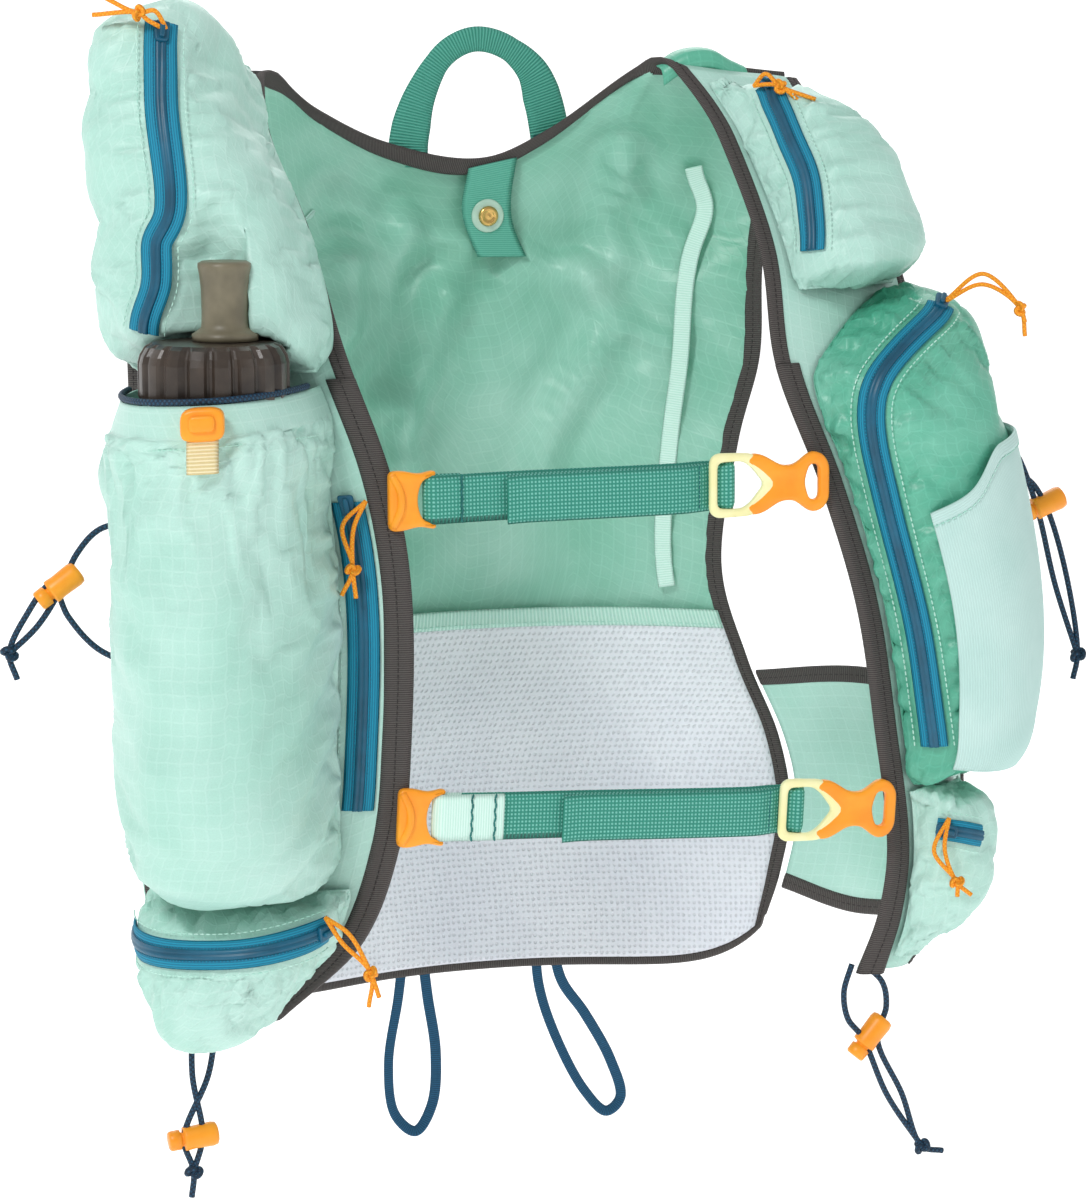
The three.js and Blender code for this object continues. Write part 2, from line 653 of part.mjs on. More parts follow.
const pockets = {
  right_shoulder_pocket: {
    side: "right", depth: 45, lift: vec(-0.6, -0.76, 0.25), boxy: 4, around: 10, down: 8,
    rows: [
      { drop: 0.028, from: 0.08, to: 0.72, depth: 0.1, up: 0.3 },
      { drop: 0.04, from: 0.02, to: 0.76, depth: 1.3, up: 0.35 },
      { drop: 0.087, from: 0, to: 0.86, depth: 1.3, up: 0.15 },
      { drop: 0.178, from: 0, to: 0.95, depth: 1.05, up: 0 },
      { drop: 0.25, from: 0, to: 0.98, depth: 0.95, up: 0 },
      { drop: 0.3, from: 0.04, to: 0.95, depth: 0.8, up: -0.1 },
      { drop: 0.322, from: 0.14, to: 0.85, depth: 0.08, up: -0.1 },
    ],
  },
  right_bottle_pocket: {
    side: "right", depth: 78, lift: vec(-0.47, -0.88, 0), boxy: 2.4, around: 11, down: 8,
    rows: [
      { drop: 0.335, from: 0.14, to: 0.92, depth: 0.95, up: 0 },
      { drop: 0.37, from: 0.14, to: 0.98, depth: 1, up: 0 },
      { drop: 0.44, from: 0.22, to: 1.01, depth: 1.02, up: 0 },
      { drop: 0.6, from: 0.25, to: 1.02, depth: 0.98, up: 0 },
      { drop: 0.72, from: 0.25, to: 1.02, depth: 0.95, up: 0 },
      { drop: 0.79, from: 0.22, to: 0.98, depth: 0.82, up: 0 },
      { drop: 0.832, from: 0.22, to: 0.92, depth: 0.55, up: -0.1 },
      { drop: 0.846, from: 0.27, to: 0.88, depth: 0.06, up: 0 },
    ],
  },
  right_bottom_pocket: {
    side: "right", depth: 44, lift: vec(-0.52, -0.84, -0.12), boxy: 2.6, around: 10, down: 6,
    rows: [
      { drop: 0.852, from: 0.14, to: 0.94, depth: 0.06, up: 0 },
      { drop: 0.863, from: 0.13, to: 0.97, depth: 0.75, up: 0 },
      { drop: 0.9, from: 0.13, to: 0.98, depth: 1, up: -0.05 },
      { drop: 0.95, from: 0.16, to: 0.95, depth: 0.95, up: -0.15 },
      { drop: 0.98, from: 0.24, to: 0.86, depth: 0.6, up: -0.2 },
      { drop: 0.992, from: 0.34, to: 0.74, depth: 0.06, up: -0.1 },
    ],
  },
  left_shoulder_pocket: {
    side: "left", depth: 31, lift: vec(0.4, -0.88, 0.2), boxy: 3, around: 10, down: 7,
    rows: [
      { drop: 0.04, from: 0.14, to: 0.5, depth: 0.1, up: 0 },
      { drop: 0.06, from: 0.12, to: 0.68, depth: 1, up: 0 },
      { drop: 0.1, from: 0.12, to: 0.86, depth: 1.15, up: 0 },
      { drop: 0.18, from: 0.12, to: 0.9, depth: 1.02, up: 0 },
      { drop: 0.235, from: 0.13, to: 0.86, depth: 0.85, up: 0 },
      { drop: 0.255, from: 0.16, to: 0.8, depth: 0.1, up: 0 },
    ],
  },
  left_side_pocket: {
    side: "left", depth: 42, lift: vec(0.6, -0.8, 0), boxy: 2.3, around: 10, down: 10,
    rows: [
      { drop: 0.262, from: 0.66, to: 0.95, depth: 0.08, up: 0.4 },
      { drop: 0.282, from: 0.46, to: 1, depth: 0.75, up: 0.1 },
      { drop: 0.32, from: 0.24, to: 1.02, depth: 0.95, up: 0 },
      { drop: 0.35, from: 0.14, to: 1.03, depth: 1, up: 0 },
      { drop: 0.45, from: 0.14, to: 1.04, depth: 1.04, up: 0 },
      { drop: 0.6, from: 0.15, to: 1.03, depth: 1, up: 0 },
      { drop: 0.7, from: 0.16, to: 1, depth: 0.85, up: 0 },
      { drop: 0.76, from: 0.17, to: 0.98, depth: 0.6, up: 0 },
      { drop: 0.782, from: 0.2, to: 0.94, depth: 0.06, up: 0 },
    ],
  },
  left_bottom_pocket: {
    side: "left", depth: 22, lift: vec(0.5, -0.86, 0), boxy: 2.6, around: 8, down: 5,
    rows: [
      { drop: 0.79, from: 0.17, to: 0.7, depth: 0.08, up: 0 },
      { drop: 0.805, from: 0.17, to: 0.74, depth: 0.8, up: 0 },
      { drop: 0.87, from: 0.18, to: 0.76, depth: 1, up: 0 },
      { drop: 0.93, from: 0.22, to: 0.74, depth: 0.8, up: 0 },
      { drop: 0.975, from: 0.3, to: 0.68, depth: 0.1, up: 0 },
    ],
  },
};
for (const [name, pocket] of Object.entries(pockets)) {
  pocket.surface = pocketSurface(panels[pocket.side], pocket.rows, pocket.depth, pocket.lift, pocket.boxy);
}
// Soft bottle in the bottle pocket
const bottleShare = 0.47;
const bottleStand = 41; // the bottle's axis stands this far off the panel
const bottleFoot = (() => {
  const { rows, lift } = pockets.right_bottle_pocket;
  const drop = rows[0].drop;
  const beside = panels.right.point(drop, bottleShare * panels.right.width(drop));
  return beside.addScaledVector(lift, bottleStand);
})();
const capTop = -114;
const bottlePlace = (z) => placeAt(vec(bottleFoot.x, bottleFoot.y, z), vec(1, 0, 0), vec(0, 1, 0));
const capEdge = 3;
const bottleEdge = 8;
// A profile grown outwards, and up and down from its middle
function widened(profile, grow) {
  const heights = profile.map(([, z]) => z);
  const middle = (Math.min(...heights) + Math.max(...heights)) / 2;
  return profile.map(([r, z]) => [r > 0 ? r + grow : 0, z + Math.sign(z - middle) * grow]);
}
addPiece("bottle_cap", smokedPlastic, (grow) => {
  const profile = [[0, -capHeight], [capRadius, -capHeight], [capRadius, -capEdge],
    [capRadius - capEdge, 0], [0, 0]];
  return lathe(widened(profile, grow), 16, bottlePlace(capTop));
});
addPiece("bottle_valve", valvePlastic, (grow) => {
  const neck = valveRadius * 0.72;
  const profile = [
    [0, 0], [valveRadius + 2, 0], [valveRadius + 2, 3], [neck, 6], [neck, valveHeight * 0.55],
    [valveRadius, valveHeight * 0.68], [valveRadius, valveHeight - 1], [valveRadius - 1,
      valveHeight], [0, valveHeight],
  ];
  return lathe(widened(profile, grow), 10, bottlePlace(capTop + seat));
});
addPiece("bottle_body", smokedPlastic, (grow) => {
  const profile = [
    [0, -bottleHeight], [bottleRadius - bottleEdge, -bottleHeight], [bottleRadius,
      bottleEdge - bottleHeight],
    [bottleRadius, -bottleEdge], [capRadius - 3, 0], [0, 0],
  ];
  return lathe(widened(profile, grow), 12, bottlePlace(capTop - capHeight - seat));
}, ["right_front_panel"]);

pockets.right_shoulder_pocket.surface = dented(pockets.right_shoulder_pocket.surface,
  pockets.right_shoulder_pocket.lift);
const bottleMouth = (x) => lerp(x, bunched(x), x);
function addPocket(name, material, clearOf, spread) {
  const pocket = pockets[name];
  const make = (grow) => pocketShell(pocket.surface, pocket.around, pocket.down, grow, spread);
  addPiece(name, material, make, clearOf);
}

// Back bag: a low pouch behind the back cloth, its depth along Y
const bagRows = [
  { v: 0.1, half: 0.5, depth: 0.08 },
  { v: 0.15, half: 0.66, depth: 0.6 },
  { v: 0.3, half: 0.76, depth: 0.9 },
  { v: 0.55, half: 0.8, depth: 1 },
  { v: 0.8, half: 0.8, depth: 1 },
  { v: 0.91, half: 0.76, depth: 0.75 },
  { v: 0.945, half: 0.7, depth: 0.08 },
];
const bagSection = smoothAll(bagRows, "v");
function bagSurface(s, b) {
  const v = lerp(bagRows[0].v, bagRows[bagRows.length - 1].v, b);
  const row = bagSection(v);
  const angle = Math.PI * (1 - s);
  const across = Math.sign(Math.cos(angle)) * Math.abs(Math.cos(angle)) ** 0.8;
  const rise = Math.max(Math.sin(angle), 0) ** 0.8 * Math.max(row.depth, 0) * bagDepth;
  const point = backSurface(across * row.half, v);
  point.y += pocketStand + rise;
  return point;
}
addPiece("pack_bag", mintCloth, (grow) => pocketShell(bagSurface, 10, 6, grow));

addPocket("right_shoulder_pocket", mintCloth, ["neck_binding", "bottle_cap", "bottle_valve"]);
const bottleNeighbours = ["right_shoulder_pocket", "right_armhole_binding", "right_side_wing",
  "bottle_cap", "bottle_body"];
addPocket("right_bottle_pocket", mintCloth, bottleNeighbours, bottleMouth);
addPocket("right_bottom_pocket", mintCloth, ["right_bottle_pocket"]);
addPocket("left_shoulder_pocket", mintCloth, ["neck_binding"]);
addPocket("left_side_pocket", sideCloth, ["left_shoulder_pocket"]);
addPocket("left_bottom_pocket", mintCloth, ["left_side_pocket"]);

// Stretch pocket over the outer side of the left side pocket: its mouth slopes and its middle puffs out
const stretch = { inner: 0.21, outer: 0.96, bottom: 0.955, puff: 3 };
const mouthRows = [
  { s: 0.2, b: 0.43 },
  { s: 0.35, b: 0.385 },
  { s: 0.5, b: 0.3 },
  { s: 1, b: 0.27 },
];
const stretchMouth = smooth(mouthRows, "s", "b");
addPiece("left_stretch_pocket", stretchCloth, (grow) => {
  const base = pockets.left_side_pocket.surface;
  const face = (u, v) => {
    const s = lerp(stretch.inner, stretch.outer, u);
    const b = lerp(stretchMouth(s), stretch.bottom, v);
    const normal = outNormal(base, s, b);
    const puff = stretch.puff * Math.sin(Math.PI * u) * Math.sin((Math.PI * v) / 2 + 0.6);
    return base(s, b).addScaledVector(normal, pocketWall + 2 * seat + Math.max(puff, 0));
  };
  return wall(face, 8, 6, -pocketWall / 2 - grow, pocketWall / 2 + grow);
}, ["left_side_pocket", "left_armhole_binding"]);

// Zips
const zips = {
  right_shoulder: { width: zipWidth, steps: 12, rows: [
    { s: 0.44, b: 0.09 }, { s: 0.47, b: 0.28 }, { s: 0.5, b: 0.58 }, { s: 0.51, b: 0.78 },
    { s: 0.54, b: 0.89 },
  ] },
  right_bottom: { width: smallZipWidth, steps: 12, rows: [
    { s: 0.92, b: 0.24 }, { s: 0.7, b: 0.23 }, { s: 0.45, b: 0.21 }, { s: 0.25, b: 0.18 },
    { s: 0.13, b: 0.16 },
  ] },
  left_shoulder: { width: smallZipWidth, steps: 12, rows: [
    { s: 0.3, b: 0.07 }, { s: 0.21, b: 0.15 }, { s: 0.18, b: 0.3 }, { s: 0.18, b: 0.5 }, { s: 0.15,
      b: 0.66 }, { s: 0.1, b: 0.85 },
  ] },
  left_side: { width: smallZipWidth, steps: 16, rows: [
    { s: 0.42, b: 0.035 }, { s: 0.27, b: 0.08 }, { s: 0.17, b: 0.18 }, { s: 0.11, b: 0.3 },
    { s: 0.09, b: 0.42 },
    { s: 0.085, b: 0.55 }, { s: 0.09, b: 0.67 }, { s: 0.1, b: 0.8 }, { s: 0.12, b: 0.92 },
  ] },
  left_bottom: { width: smallZipWidth * 0.8, steps: 5, rows: [
    { s: 0.14, b: 0.2 }, { s: 0.3, b: 0.22 }, { s: 0.46, b: 0.26 },
  ] },
};
for (const [name, zip] of Object.entries(zips)) {
  const surface = pockets[`${name}_pocket`].surface;
  const clearOf = [`${name}_pocket`];
  if (name === "left_side") clearOf.push("left_stretch_pocket");
  if (name === "right_bottom") clearOf.push("right_bottle_pocket");
  if (name === "right_shoulder") clearOf.push("bottle_cap", "bottle_valve");
  addPiece(`${name}_zip`, zipTape, (grow) => zipBand(surface, zip.rows, zip.steps, zip.width,
    grow), clearOf);
}
const sideZip = { top: 0.452, bottom: 0.77, steps: 10 };
addPiece("right_side_zip", zipTape, (grow) => {
  const across = railWidth + 3 * seat + zipWidth / 2;
  const width = zipWidth;
  const face = (u, v) => panels.right.point(lerp(sideZip.top, sideZip.bottom, v),
    across + lerp(-width / 2, width / 2, u));
  const low = clothWall / 2 + seat;
  return wall((u, v) => {
    return face(u, v).addScaledVector(outNormal(face, u, v), low + zipWall / 2);
  }, 1, sideZip.steps, -zipWall / 2 - grow, zipWall / 2 + grow);
}, ["right_bottle_pocket"]);

const bottlePocket = pockets.right_bottle_pocket;
// Cord round the bottle pocket's mouth with its lock and pull tab
const mouthStart = 0.14;
const mouthEnd = 0.78;
const mouthPoint = (s) => {
  const lift = cordDiameter / 2 + seat;
  return bottlePocket.surface(s, 0).add(vec(0, 0, lift));
};
addPiece("bottle_pocket_cord", navyCord, (grow) => {
  const points = [];
  const count = 10;
  for (let k = 0; k <= count; k++) points.push(mouthPoint(lerp(mouthStart, mouthEnd, k / count)));
  return tube(points, cordDiameter + 2 * grow, 12);
}, ["right_bottle_pocket", "right_shoulder_pocket", "bottle_cap"]);
const lockSize = { s: 0.43, wide: 17, tall: 12, deep: 8 };
const tabSize = { wide: 12, tall: 14, deep: 2, off: 3 };
const lockFrame = (drop, lift) => {
  const point = bottlePocket.surface(lockSize.s, drop);
  const normal = outNormal(bottlePocket.surface, lockSize.s, drop).setZ(0).normalize();
  const xAxis = vec(-normal.y, normal.x, 0);
  return placeAt(point.addScaledVector(normal, lift), xAxis, vec(0, 0, 1));
};
addPiece("bottle_cord_lock", orangePlastic, () => {
  const w = lockSize.wide / 2;
  const h = lockSize.tall / 2;
  const waist = 0.6;
  const outline = [
    [-w, -h * waist], [-w * waist, -h], [w * waist, -h], [w, -h * waist], [w, h * waist], [w * waist, h],
    [-w * waist, h], [-w, h * waist],
  ];
  const place = lockFrame(0.03, pocketWall / 2 + seat);
  const tabPlace = lockFrame(0.03, pocketWall / 2 + tabSize.off);
  const side = tabSize.wide / 2;
  const tab = [[-side, -h - tabSize.tall], [side, -h - tabSize.tall], [side, 0], [-side, 0]];
  return plate(outline, [], lockSize.deep, place).add(plate(tab, [], tabSize.deep, tabPlace));
}, ["right_bottle_pocket", "bottle_pocket_cord"]);

// Sternum straps: places along a strap are millimetres from the right rail's inner edge, and from the
// left rail's inner edge for the buckle side
const straps = {
  upper: { rightDrop: 0.452, leftDrop: 0.449, lap: 45, tab: 0 },
  lower: { rightDrop: 0.777, leftDrop: 0.803, lap: 66, tab: 40 },
};
const hookSize = { out: 5, reach: 15, high: 12, slot: 4.5, bar: 3.5 };
const buckle = { long: 37, over: 3, high: 13, waist: 6.5 };
const slider = { long: 16, high: 13.5, rim: 3.4, bar: 3 };
for (const [name, strap] of Object.entries(straps)) {
  const proud = bindingWall / 2 + seat + buckleWall / 2;
  const right = panels.right.point(strap.rightDrop, 0);
  const left = panels.left.point(strap.leftDrop, 0);
  const xAxis = left.clone().sub(right).normalize();
  const zAxis = vec(0, 0, 1).addScaledVector(xAxis, -xAxis.z).normalize();
  const front = zAxis.clone().cross(xAxis).negate();
  right.addScaledVector(front, proud);
  left.addScaledVector(front, proud);
  const span = right.distanceTo(left);
  // A point of the strap: along it, forwards from its plane, and up.
  const at = (along, forward, up = 0) => {
    return right.clone().addScaledVector(xAxis, along).addScaledVector(front,
      forward).addScaledVector(zAxis, up);
  };
  const rails = ["right_rail", "left_rail", "right_front_panel", "left_front_panel", "right_side_zip"];
  const flat = (thick) => placeAt(at(0, -thick / 2), xAxis, zAxis);
  const flatFront = (outline, holes, thick) => {
    // The plate's own z axis points backwards or forwards with the axes' hand; it is centred on the plane.
    const solid = plate(outline, holes, thick, flat(0));
    const place = new THREE.Vector3().setFromMatrixColumn(flat(0), 2);
    const shift = place.clone().multiplyScalar(-thick / 2);
    return solid.translate([shift.x, shift.y, shift.z]);
  };
  const hookEnd = hookSize.reach;
  const barFrom = hookEnd - hookSize.bar;
  const slotFrom = barFrom - hookSize.slot;
  addPiece(`${name}_strap_hook`, orangePlastic, (grow) => {
    const h = hookSize.high;
    const outline = [[-hookSize.out, -h], [barFrom, -h * 0.84], [hookEnd, -h * 0.95], [hookEnd,
      h * 0.95], [barFrom, h * 0.84], [-hookSize.out, h]];
    const slotHigh = strapWidth / 2 + 2 * seat;
    const hole = [[slotFrom, -slotHigh], [barFrom, -slotHigh], [barFrom, slotHigh], [slotFrom, slotHigh]];
    return flatFront(outline, [hole.map(([x, y]) => [x, Math.sign(y) * Math.min(Math.abs(y),
      h * 0.84 - 1)])], buckleWall + 2 * grow);
  }, rails);
  const buckleStart = span - buckle.long + buckle.over;
  const sliderEnd = buckleStart - seat;
  const sliderStart = sliderEnd - slider.long;
  const box = (x0, x1, h) => [[x0, -h], [x1, -h], [x1, h], [x0, h]];
  addPiece(`${name}_strap_slider`, creamPlastic, (grow) => {
    const outline = box(sliderStart - grow, sliderEnd, slider.high + grow);
    const hole = box(sliderStart + slider.bar + grow, sliderEnd - slider.bar,
      slider.high - slider.rim - grow);
    return flatFront(outline, [hole], sliderWall + 2 * grow);
  });
  addPiece(`${name}_strap_buckle`, orangePlastic, () => {
    const end = buckleStart + buckle.long;
    const middle = buckleStart + buckle.long / 2;
    const { high, waist } = buckle;
    const outline = [
      [buckleStart, -high], [buckleStart + 6, -high], [middle - 3, -waist], [middle + 3, -waist],
      [end - 7, -high], [end, -high + 2], [end, high - 2], [end - 7, high],
      [middle + 3, waist], [middle - 3, waist], [buckleStart + 6, high], [buckleStart, high],
    ];
    const near = [[buckleStart + 4, -waist], [middle - 7, 0], [buckleStart + 4, waist]];
    const far = [[end - 4, -waist], [end - 4, waist], [middle + 7, 0]];
    return flatFront(outline, [near, far], buckleWall);
  }, rails);
  // The webbing: a free end in front, round the slider's bar, back to the hook's bar and round it
  const turn = sliderWall / 2 + seat + strapWall / 2;
  const hookTurn = buckleWall / 2 + seat + strapWall / 2;
  const sliderBar = sliderStart + slider.bar / 2;
  const hookBar = hookEnd - hookSize.bar / 2;
  const halfBar = slider.bar / 2 + seat + strapWall / 2;
  const halfHookBar = hookSize.bar / 2 + seat + strapWall / 2;
  const layer = strapWall / 2 + seat;
  const wrapEnd = [
    at(strap.lap, layer * 1.2), at(strap.lap + 8, layer), at(sliderStart - 12, layer),
    at(sliderStart - 2, turn),
    at(sliderBar, turn), at(sliderBar + halfBar, 0), at(sliderBar, -turn), at(sliderStart - 2, -turn),
    at(sliderStart - 12, -layer),
  ];
  const clearOf = [`${name}_strap_hook`, `${name}_strap_slider`];
  if (strap.tab) {
    const green = [...wrapEnd, at(strap.lap + 4, -layer), at(strap.tab - 4, 0), at(hookEnd + 8, 0)];
    addPiece(`${name}_strap_webbing`, webbing, (grow) => {
      return band(bandFrames(green, zAxis, 24, strapWall + 2 * grow, strapWidth + 2 * grow));
    }, [`${name}_strap_slider`]);
    const pale = [
      at(strap.tab, strapWall + seat), at(hookEnd + 6, strapWall + seat), at(hookEnd + 1,
        hookTurn), at(hookBar, hookTurn),
      at(hookBar - halfHookBar, 0), at(hookBar, -hookTurn), at(hookEnd + 1, -hookTurn),
      at(hookEnd + 6, -strapWall - seat), at(strap.tab, -strapWall - seat),
    ];
    addPiece(`${name}_strap_tab`, paleTape, () => {
      return band(bandFrames(pale, zAxis, 14, strapWall, strapWidth - 1));
    }, [`${name}_strap_webbing`, ...clearOf, "right_rail"]);
  } else {
    const wrapStart = [
      at(hookEnd + 8, hookTurn * 0.6), at(hookEnd + 1, hookTurn), at(hookBar, hookTurn),
      at(hookBar - halfHookBar, 0),
      at(hookBar, -hookTurn), at(hookEnd + 2, -hookTurn), at(hookEnd + 15, -hookTurn),
    ];
    const green = [...wrapEnd, at(strap.lap + 4, -layer), at(hookEnd + 20, 0), ...wrapStart];
    addPiece(`${name}_strap_webbing`, webbing, () => {
      return band(bandFrames(green, zAxis, 32, strapWall, strapWidth));
    }, [...clearOf, "right_rail"]);
  }
}

// Hanging loop, snap tab, inner tape and the two loops at the hem
addPiece("hang_loop", webbing, () => {
  const y = 0.945 * chestDepth;
  const points = [
    vec(-34, y, -54), vec(-33, y, -40), vec(-27, y, -18), vec(-15, y, -3), vec(-2, y, 2), vec(12, y, -2),
    vec(24, y, -14), vec(32, y, -30), vec(34, y, -44),
  ];
  const ends = (t) => Math.abs(2 * t - 1) ** 2;
  const width = (t) => lerp(loopFoldWidth, loopWebWidth, ends(t));
  return band(bandFrames(points, vec(0, 1, 0), 18, width, loopWall));
}, ["neck_binding", "back_panel", "pack_bag"]);
const innerLift = -(clothWall / 2 + 2 * seat + tabWall / 2);
const tabPath = (t) => [lerp(0.04, 0.11, t), lerp(0.02, 0.17, t)];
const tabFrames = (steps) => surfaceFrames(backSurface, tabPath, steps, tabWidth, tabWall, innerLift);
addPiece("snap_tab", webbing, () => {
  const profile = [[0, 0], [snapRadius, 0], [snapRadius, 0.8], [snapRadius / 2, snapHeight], [0,
    snapHeight]];
  const middle = tabFrames(2)[1];
  const inward = middle.normal.clone().negate();
  const stud = lathe(profile, 10, placeAt(middle.point, middle.across, inward.clone().cross(middle.across)));
  return band(tabFrames(4)).add(stud);
}, ["neck_binding", "back_panel"]);
const tapeRows = [{ s: 0.72, b: 0.07 }, { s: 0.8, b: 0.12 }, { s: 0.76, b: 0.19 }, { s: 0.74,
  b: 0.28 }, { s: 0.76, b: 0.4 }, { s: 0.79, b: 0.53 }];
addPiece("inner_tape", paleTape, () => {
  const lift = -(clothWall / 2 + tapeStand + tapeWall / 2);
  return band(surfaceFrames(backSurface, pathOf(tapeRows), 12, tapeWidth, tapeWall, lift));
}, ["back_panel"]);
const poleY = 107.2;
const poleLoops = {
  right: [[-34, -414], [-37, -440], [-42, -472], [-39, -497], [-29, -506], [-21, -494], [-19,
    -469], [-23, -440], [-26, -414]],
  left: [
    [30, -414], [32, -440], [40, -465], [55, -494], [66, -505], [73, -499], [68, -480], [55, -456],
    [43, -438], [38, -414],
  ],
};
for (const [side, route] of Object.entries(poleLoops)) {
  const points = route.map(([x, z]) => vec(x, poleY, z));
  addPiece(`${side}_pole_loop`, poleWebbing, () => {
    return band(bandFrames(points, vec(0, 1, 0), 20, poleWebWidth, poleWebWall));
  }, ["back_binding", "back_mesh_panel", "pack_bag"]);
}

// Cords: each node is a doubled cord whose two strands end in its knot. The routes are chosen by hand.
function cordSolid(strands, diameter, grow) {
  const knot = strands[0][strands[0].length - 1];
  let solid = ball(vec(...knot), knotRadius * (diameter / cordDiameter) + grow);
  for (const route of strands) {
    const points = route.map(([x, y, z]) => vec(x, y, z));
    solid = solid.add(tube(points, diameter + 2 * grow, route.length - 1));
  }
  return solid;
}
const drawcords = {
  right_hem: {
    strands: [
      [[-167, -38, -398], [-168, -40, -425], [-164, -40, -452], [-168, -40, -467]],
      [[-157, -40, -398], [-161, -40, -425], [-172, -40, -452], [-168, -40, -467], [-169, -40, -478]],
    ],
    toggle: { at: [-168, -40, -452], along: [1, 0, 0.1] },
    clearOf: ["right_bottom_pocket", "right_front_panel", "right_rail", "right_armhole_binding"],
  },
  left_rail: {
    strands: [
      [[119, -66, -394], [115, -67, -406], [117, -67, -418], [124, -67, -427], [136, -67, -454],
        [153, -67, -479]],
      [[124, -66, -394], [133, -67, -403], [135, -67, -414], [131, -67, -428], [143, -67, -454],
        [153, -67, -479], [163, -67, -482]],
    ],
    toggle: { at: [127, -67, -427], along: [0.6, 0, 0.7] },
    clearOf: ["left_bottom_pocket", "left_front_panel", "left_rail", "left_armhole_binding"],
  },
  right_side: {
    strands: [
      [[-180, -13, -194], [-197, -11, -197], [-207, -11, -207], [-214, -12, -221], [-224, -12,
        -236], [-236, -12, -247]],
      [[-180, -16, -256], [-199, -12, -247], [-211, -11, -233], [-218, -12, -219], [-229, -12,
        -232], [-236, -12, -247], [-233, -12, -258]],
    ],
    toggle: { at: [-215, -12, -220], along: [0.7, 0, 0.5] },
    clearOf: ["right_armhole_binding", "right_front_panel", "right_bottle_pocket"],
  },
  left_side: {
    strands: [
      [[168, -26, -168], [200, -22, -167], [214, -18, -178], [227, -15, -204], [237, -15, -240],
        [249, -15, -273]],
      [[168, -28, -184], [203, -22, -186], [222, -17, -192], [232, -15, -205], [243, -15, -238],
        [249, -15, -273], [247, -15, -284]],
    ],
    toggle: { at: [230, -15, -204], along: [1, 0, 0.4] },
    clearOf: ["left_armhole_binding", "left_front_panel", "left_side_pocket", "left_stretch_pocket"],
  },
};
for (const [name, set] of Object.entries(drawcords)) {
  addPiece(`${name}_cord`, navyCord, (grow) => cordSolid(set.strands, cordDiameter, grow), set.clearOf);
  addPiece(`${name}_toggle`, orangePlastic, () => {
    const half = toggleLength / 2;
    const rim = toggleRadius;
    const profile = [[0, -half], [rim, -half * 0.8], [rim, half * 0.8], [0, half]];
    const axis = vec(...set.toggle.along).normalize();
    return lathe(profile, 8, placeAt(vec(...set.toggle.at), vec(0, 1, 0), axis.clone().cross(vec(0, 1, 0))));
  }, [`${name}_cord`]);
}
const pulls = {
  right_shoulder: { route: [[-173, -46, 7], [-180, -49, 13], [-185, -48, 14]], tail: [-195, -43, 16] },
  right_side: { route: [[-101, -77, -181], [-109, -79, -191], [-108, -82, -208]], tail: [-110, -82, -219] },
  right_bottom: { route: [[-124, -94.5, -348], [-118, -104, -355], [-109, -109, -369]],
    tail: [-108, -109, -381] },
  left_shoulder: { route: [[92.5, -7.5, -17], [96, -13, -14], [101, -17, -17]], tail: [111, -21, -24] },
  left_side: { route: [[157, -66, -107.5], [169, -80, -97], [182, -89, -109]], tail: [184, -90, -118] },
  left_bottom: { route: [[152, -92, -326], [146, -96, -339], [152, -101, -352]], tail: [155, -102, -358] },
};
for (const [name, pull] of Object.entries(pulls)) {
  addPiece(`${name}_zip_pull`, orangeCord, (grow) => {
    return cordSolid([pull.route, [pull.route[2], pull.tail]], pullDiameter, grow);
  }, [`${name}_zip`, name === "right_side" ? "right_bottle_pocket" : `${name}_pocket`]);
}

export default vest;
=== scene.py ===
# Running hydration vest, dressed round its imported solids
import math

import bmesh
import bpy
import numpy as np
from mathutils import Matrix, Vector


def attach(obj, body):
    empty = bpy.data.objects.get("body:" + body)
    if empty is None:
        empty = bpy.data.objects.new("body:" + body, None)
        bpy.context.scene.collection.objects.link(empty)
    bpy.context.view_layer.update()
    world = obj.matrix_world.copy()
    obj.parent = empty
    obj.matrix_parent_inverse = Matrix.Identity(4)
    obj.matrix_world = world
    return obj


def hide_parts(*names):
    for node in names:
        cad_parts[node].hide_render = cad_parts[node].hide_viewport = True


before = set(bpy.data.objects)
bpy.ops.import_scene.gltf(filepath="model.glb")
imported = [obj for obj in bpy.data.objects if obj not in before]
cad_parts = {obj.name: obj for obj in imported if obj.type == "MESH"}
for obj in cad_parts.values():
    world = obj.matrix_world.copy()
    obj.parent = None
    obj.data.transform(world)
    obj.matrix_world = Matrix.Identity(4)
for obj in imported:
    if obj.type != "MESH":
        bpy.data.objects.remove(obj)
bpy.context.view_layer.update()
print("frame loaded")

mm = 0.001

# Camera
view = {"azimuth": -18, "elevation": 9, "distance": 1.6, "aim": (0, 0, -0.238), "lens": 110.4}


def placeCamera():
    azimuth, elevation = math.radians(view["azimuth"]), math.radians(view["elevation"])
    flat = math.cos(elevation)
    back = Vector((math.sin(azimuth) * flat, -math.cos(azimuth) * flat, math.sin(elevation)))
    camera = bpy.data.objects.new("camera", bpy.data.cameras.new("camera"))
    bpy.context.scene.collection.objects.link(camera)
    camera.data.lens = view["lens"]
    camera.data.sensor_width = 36
    camera.data.clip_end = 50
    camera.location = Vector(view["aim"]) + back * view["distance"]
    camera.rotation_euler = (-back).to_track_quat("-Z", "Y").to_euler()
    bpy.context.scene.camera = camera
    bpy.context.scene.view_settings.view_transform = "Standard"


placeCamera()

# Materials


def toLinear(hexColour):
    # sRGB hex to linear: the standard two-part curve
    c = np.array([int(hexColour[i:i + 2], 16) for i in (1, 3, 5)]) / 255
    c = np.where(c <= 0.04045, c / 12.92, ((c + 0.055) / 1.055) ** 2.4)
    return (*c.tolist(), 1.0)


